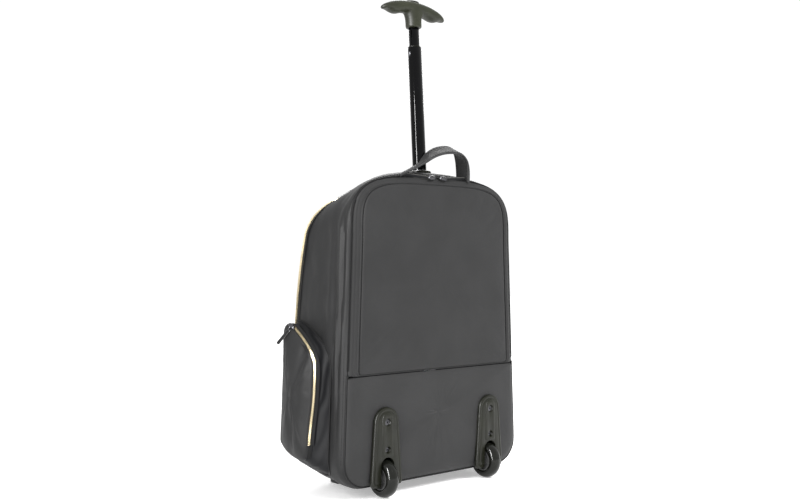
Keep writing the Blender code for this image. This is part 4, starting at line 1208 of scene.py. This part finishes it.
def build_grip(matrix):
    """The T grip: a drooping bar with finger swells underneath, blended into its collar by one remesh."""
    low, _ = span_along("grip_lower_shell", matrix)
    here = matrix @ Matrix.Translation((0, 0, low + 0.0310))
    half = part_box("grip_lower_shell")[1].x
    rows = []
    ends = np.array([0.95, 0.975, 0.992, 1.0])
    for share in np.concatenate([-ends[::-1], np.linspace(-0.92, 0.92, 47), ends]):
        end = math.sqrt(max(1.0 - abs(share) ** 7, 0.0))
        tall = (0.0094 - 0.0034 * share * share) * max(end, 0.06)
        deep = (0.0128 - 0.0030 * share * share) * max(end, 0.06)
        swell = 1.0 + 0.42 * ridge(abs(share), 0.60, 0.17) - 0.30 * ridge(abs(share), 0.86, 0.10)
        drop = -0.0092 * share * share - 0.0014 * share
        section = []
        for turn in np.arange(32) * 2 * math.pi / 32:
            height = tall * math.copysign(abs(math.sin(turn)) ** 0.85, math.sin(turn))
            if height < 0:
                height *= swell
            section.append(Vector((share * half, deep * math.cos(turn), drop + height)))
        rows.append(section)
    bar = skin("grip_body", placed(rows, here), "grip", "inner_stage", caps=True, smooth=60.0)
    stem = [ring((0.0120, 0.0095), 0.004), ring((0.0186, 0.0124), -0.0045), ring((0.0160, 0.0122), -0.0090),
            ring((0.0136, 0.0120), -0.0150), ring((0.0129, 0.0118), -0.0200), ring((0.0128, 0.0117), -0.0292),
            ring((0.0120, 0.0109), -0.0308)]
    carve(bar, [loft_tool("stem", placed(stem, here))], "UNION")
    remesh = bar.modifiers.new("blend", "REMESH")
    remesh.mode = "VOXEL"
    remesh.voxel_size = 0.0011
    smoothing = bar.modifiers.new("soften", "SMOOTH")
    smoothing.factor = 0.5
    smoothing.iterations = 7
    apply_modifiers(bar)
    button = placed([ring((0.0128, 0.0067), height) for height in (0.0050, 0.030)], here)
    bore = placed([ring((0.0087, 0.0075), height) for height in (-0.05, -0.012)], here)
    carve(bar, [loft_tool("button_opening", button), loft_tool("tube_bore", bore)])
    wear(bar, "grip")
    smooth_shaded(bar, 50.0)
    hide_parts("grip_lower_shell", "grip_upper_shell")
    rows = [ring((0.0120, 0.0060), 0.0060), ring((0.0122, 0.0062), 0.0098), ring((0.0116, 0.0057), 0.0108),
            ring((0.0098, 0.0044), 0.0113), ring((0.0050, 0.0022), 0.0110)]
    press = skin("grip_button_fine", placed(rows, here), "olive", "release", caps=True)
    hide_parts("grip_button")


# ---------------------------------------------------------------- wheels

SCREW_HIGH, SCREW_LOW = 0.108, 0.069
SPOKES = 5
TYRE_HALF = 0.0095
SLOT_HALF = 0.0119


def housing_profile(inset):
    """The arched plate: a half circle on top, straight flanks spreading down, small rounded feet."""
    radius, spring = 0.0215 - inset, 0.1075
    angles = np.linspace(0.0, math.pi, 33)
    points = [(radius * math.cos(a), spring + radius * math.sin(a)) for a in angles]
    flank = [(-0.0232, 0.085), (-0.0252, 0.058), (-0.0272, 0.032), (-0.0278, 0.024), (-0.0270, 0.0195),
             (-0.0250, 0.0176)]
    points += [(x + inset, z + inset * (z < 0.02)) for x, z in flank]
    points += [(-x, z) for x, z in reversed(points[33:])]
    return np.array(points)


def build_wheels():
    for side, sign in SIDES.items():
        x = sign * WHEEL_X
        build_housing(side, x)
        build_wheel(side, x)
        build_screws(side, x)


def build_housing(side, x):
    """The moulded plate with its raised middle, the wheel well behind it, the slot and the screw holes."""
    low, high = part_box("wheel_housing_" + side)
    face = low.y
    rows = []
    for inset, back in [(0.0, 0.0073), (0.0, 0.0034), (0.0004, 0.0026), (0.0011, 0.0020),
                        (0.0022, 0.0016), (0.0034, 0.0015), (0.0042, 0.0019), (0.0050, 0.0020),
                        (0.0062, 0.0012), (0.0075, 0.0010)]:
        profile = housing_profile(inset)
        rows.append(np.stack([x + profile[:, 0], np.full(len(profile), face + back), profile[:, 1]], 1))
    housing = skin("housing_" + side, rows, "olive", "case", caps=True, smooth=30.0)
    ridge_rows = []
    for half, back in [(0.0096, 0.0014), (0.0090, 0.0004), (0.0078, 0.0)]:
        angles = np.linspace(0.0, math.pi, 17)
        top = [(half * math.cos(a), 0.1125 + half * math.sin(a)) for a in angles]
        bottom = [(-half * 1.08, 0.060), (half * 1.08, 0.060)]
        ridge_rows.append([(x + a, face + back, z) for a, z in top + bottom])
    carve(housing, [loft_tool("raised", ridge_rows)], "UNION")
    plate_back = face + 0.0050
    well = box_tool("well", (x - 0.0165, plate_back, 0.0155), (x + 0.0165, high.y, 0.0630))
    carve(housing, [well], "UNION")
    hollow = box_tool("hollow", (x - 0.0117, face + 0.0060, -0.02), (x + 0.0117, high.y - 0.003, 0.060))
    slot_rows = []
    for y in (face - 0.01, face + 0.0061):
        angles = np.linspace(0.0, math.pi, 25)
        arch = [(SLOT_HALF * math.cos(a), 0.0465 + SLOT_HALF * math.sin(a)) for a in angles]
        slot_rows.append([(x + a, y, z) for a, z in arch + [(-SLOT_HALF, -0.02), (SLOT_HALF, -0.02)]])
    tools = [hollow, loft_tool("slot", slot_rows)]
    radius = 0.0030
    for height, flare in ((SCREW_HIGH, 0.0056), (SCREW_LOW, 0.0050)):
        turn = Matrix.Translation((x, face, height)) @ Matrix.Rotation(-math.pi / 2, 4, "X")
        levels = [(flare, -0.004), (flare, 0.0012), (radius, 0.0036), (radius, 0.0070)]
        tools.append(loft_tool("screw_hole", placed(round_rings(levels, 32), turn)))
    carve(housing, tools)
    bevel(housing, 0.0004)
    wear(housing, "olive")
    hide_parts("wheel_housing_" + side)


def build_wheel(side, x):
    """An inline-skate style wheel: a crowned glossy tyre on a ribbed core."""
    turn = Matrix.Translation((x, WHEEL_Y, WHEEL_RADIUS)) @ Matrix.Rotation(math.pi / 2, 4, "Y")
    body = "wheel_" + side
    profile = [(0.0163, -0.0084), (0.0178, -0.0092), (0.0196, -TYRE_HALF)]
    for step in range(17):
        angle = (step / 16 - 0.5) * math.pi
        profile.append((0.0205 + (WHEEL_RADIUS - 0.0205) * math.cos(angle) ** 0.9, TYRE_HALF * math.sin(angle)))
    profile += [(0.0196, TYRE_HALF), (0.0178, 0.0092), (0.0163, 0.0084)]
    rows = placed(round_rings(profile, 72), turn)
    tyre = skin("tyre_" + side, rows, "tyre", body, closed_rows=True, smooth=50.0)
    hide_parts("wheel_tyre_" + side)
    half = [(0.0034, 0.0095), (0.0062, 0.0095), (0.0068, 0.0090), (0.0070, 0.0062), (0.0078, 0.0052),
            (0.0128, 0.0052), (0.0138, 0.0060), (0.0142, 0.0082), (0.0160, 0.0082)]
    profile = [(radius, -height) for radius, height in half] + half[::-1]
    rows = placed(round_rings(profile, 60), turn)
    hub = skin("hub_" + side, rows, "core", body, closed_rows=True, smooth=35.0)
    spins = [turn @ Matrix.Rotation(2 * math.pi * number / SPOKES, 4, "Z") for number in range(SPOKES)]
    spoke = (0.0080, 0.0018, 0.0140)
    carve(hub, [block_tool("spoke", spoke, (0.0104, 0.0, 0.0), spin) for spin in spins], "UNION")
    wear(hub, "core")
    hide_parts("wheel_hub_" + side)


def build_screws(side, x):
    """Countersunk screws with a cross recess, the lower one set deeper."""
    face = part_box("wheel_housing_" + side)[0].y
    for level, height, sunk in (("upper", SCREW_HIGH, 0.0022), ("lower", SCREW_LOW, 0.0034)):
        turn = Matrix.Translation((x, face + sunk, height)) @ Matrix.Rotation(math.pi / 2, 4, "X")
        levels = [(0.0022, -0.0060), (0.0022, -0.0026), (0.0046, -0.0004), (0.0045, 0.0001), (0.0030, 0.0006)]
        rows = placed(round_rings(levels, 32), turn)
        screw = skin(f"screw_{level}_{side}", rows, "gunmetal", "case", caps=True, smooth=35.0)
        spins = [turn @ Matrix.Rotation(spin, 4, "Z") for spin in (0.4, 0.4 + math.pi / 2)]
        carve(screw, [block_tool("recess", (0.0044, 0.0010, 0.0030), matrix=spin) for spin in spins])
        wear(screw, "gunmetal")
        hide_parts(f"housing_screw_{level}_{side}")


def finish_kept_solids():
    """Hidden metal and plastic, boards, laptop sleeve and feet keep their solids and get their finishes."""
    finishes = {
        "olive": ["sleeve_base_bracket"], "steel": ["release_rod", "wheel_axle_left", "wheel_axle_right"],
        "board": ["frame_board", "base_board"], "lining": ["laptop_sleeve"],
        "rubber": ["front_foot_left", "front_foot_right"],
    }
    for look, nodes in finishes.items():
        for node in nodes:
            wear(frame["nodes"][node], look)


# ---------------------------------------------------------------- stage

def area_light(name, place_at, aim, size, power):
    """A rectangular lamp turned to its aim."""
    data = bpy.data.lights.new(name, "AREA")
    data.shape = "RECTANGLE"
    data.size, data.size_y = size
    data.energy = power
    lamp = bpy.data.objects.new(name, data)
    lamp.location = place_at
    lamp.rotation_euler = (Vector(aim) - Vector(place_at)).to_track_quat("-Z", "Y").to_euler()
    bpy.context.scene.collection.objects.link(lamp)
    return lamp


def build_stage():
    """A pale floor under a white world, with a soft key, side and rim lamps, and a strip for the tubes."""
    scene = bpy.context.scene
    builder = bmesh.new()
    bmesh.ops.create_grid(builder, x_segments=1, y_segments=1, size=6.0)
    mesh = bpy.data.meshes.new("floor")
    builder.to_mesh(mesh)
    builder.free()
    floor = bpy.data.objects.new("floor", mesh)
    floor.location = (0.0, 0.0, -0.0002)
    scene.collection.objects.link(floor)
    paint = Look("pale_floor", (0.90, 0.90, 0.90), 0.9)
    paint.set(Specular_IOR_Level=0.0, Emission_Color=(1.0, 1.0, 1.0, 1.0), Emission_Strength=0.35)
    mesh.materials.append(paint.material)
    world = bpy.data.worlds.new("studio")
    world.use_nodes = True
    background = world.node_tree.nodes["Background"]
    background.inputs["Color"].default_value = (1.0, 1.0, 1.0, 1.0)
    background.inputs["Strength"].default_value = 1.05
    scene.world = world
    key = area_light("key", (0.5, -2.0, 2.1), (0.0, 0.0, 0.25), (1.2, 1.2), 84.0)
    key.visible_glossy = False
    area_light("side", (-2.2, -0.9, 1.3), (0.0, 0.0, 0.3), (0.7, 1.2), 34.0)
    area_light("rim", (1.4, 1.6, 1.6), (0.0, 0.0, 0.4), (0.8, 1.4), 20.0)
    strip = area_light("strip", (-2.1, -0.72, 1.00), (0.0, -0.03, 1.00), (0.20, 3.0), 260.0)
    strip.visible_diffuse = False
    scene.view_settings.view_transform = "Standard"


def build_camera():
    """Level with the middle of the bag, forty degrees round from behind towards the left side."""
    data = bpy.data.cameras.new("camera")
    data.sensor_width = 36.0
    data.lens = 43.56
    data.shift_y = 0.015
    camera = bpy.data.objects.new("camera", data)
    camera.location = (-0.9698, BACK_Y - 1.0683, 0.335)
    camera.rotation_euler = (math.radians(90), 0.0, math.radians(-40))
    bpy.context.scene.collection.objects.link(camera)
    bpy.context.scene.camera = camera


build_camera()
build_stage()
build_body()
build_rear_panel()
build_lower_panel()
build_rear_zipper()
build_front()
build_arch_zipper()
build_side_pockets()
build_sliders()
build_carry_loop()
build_post()
build_wheels()
finish_kept_solids()
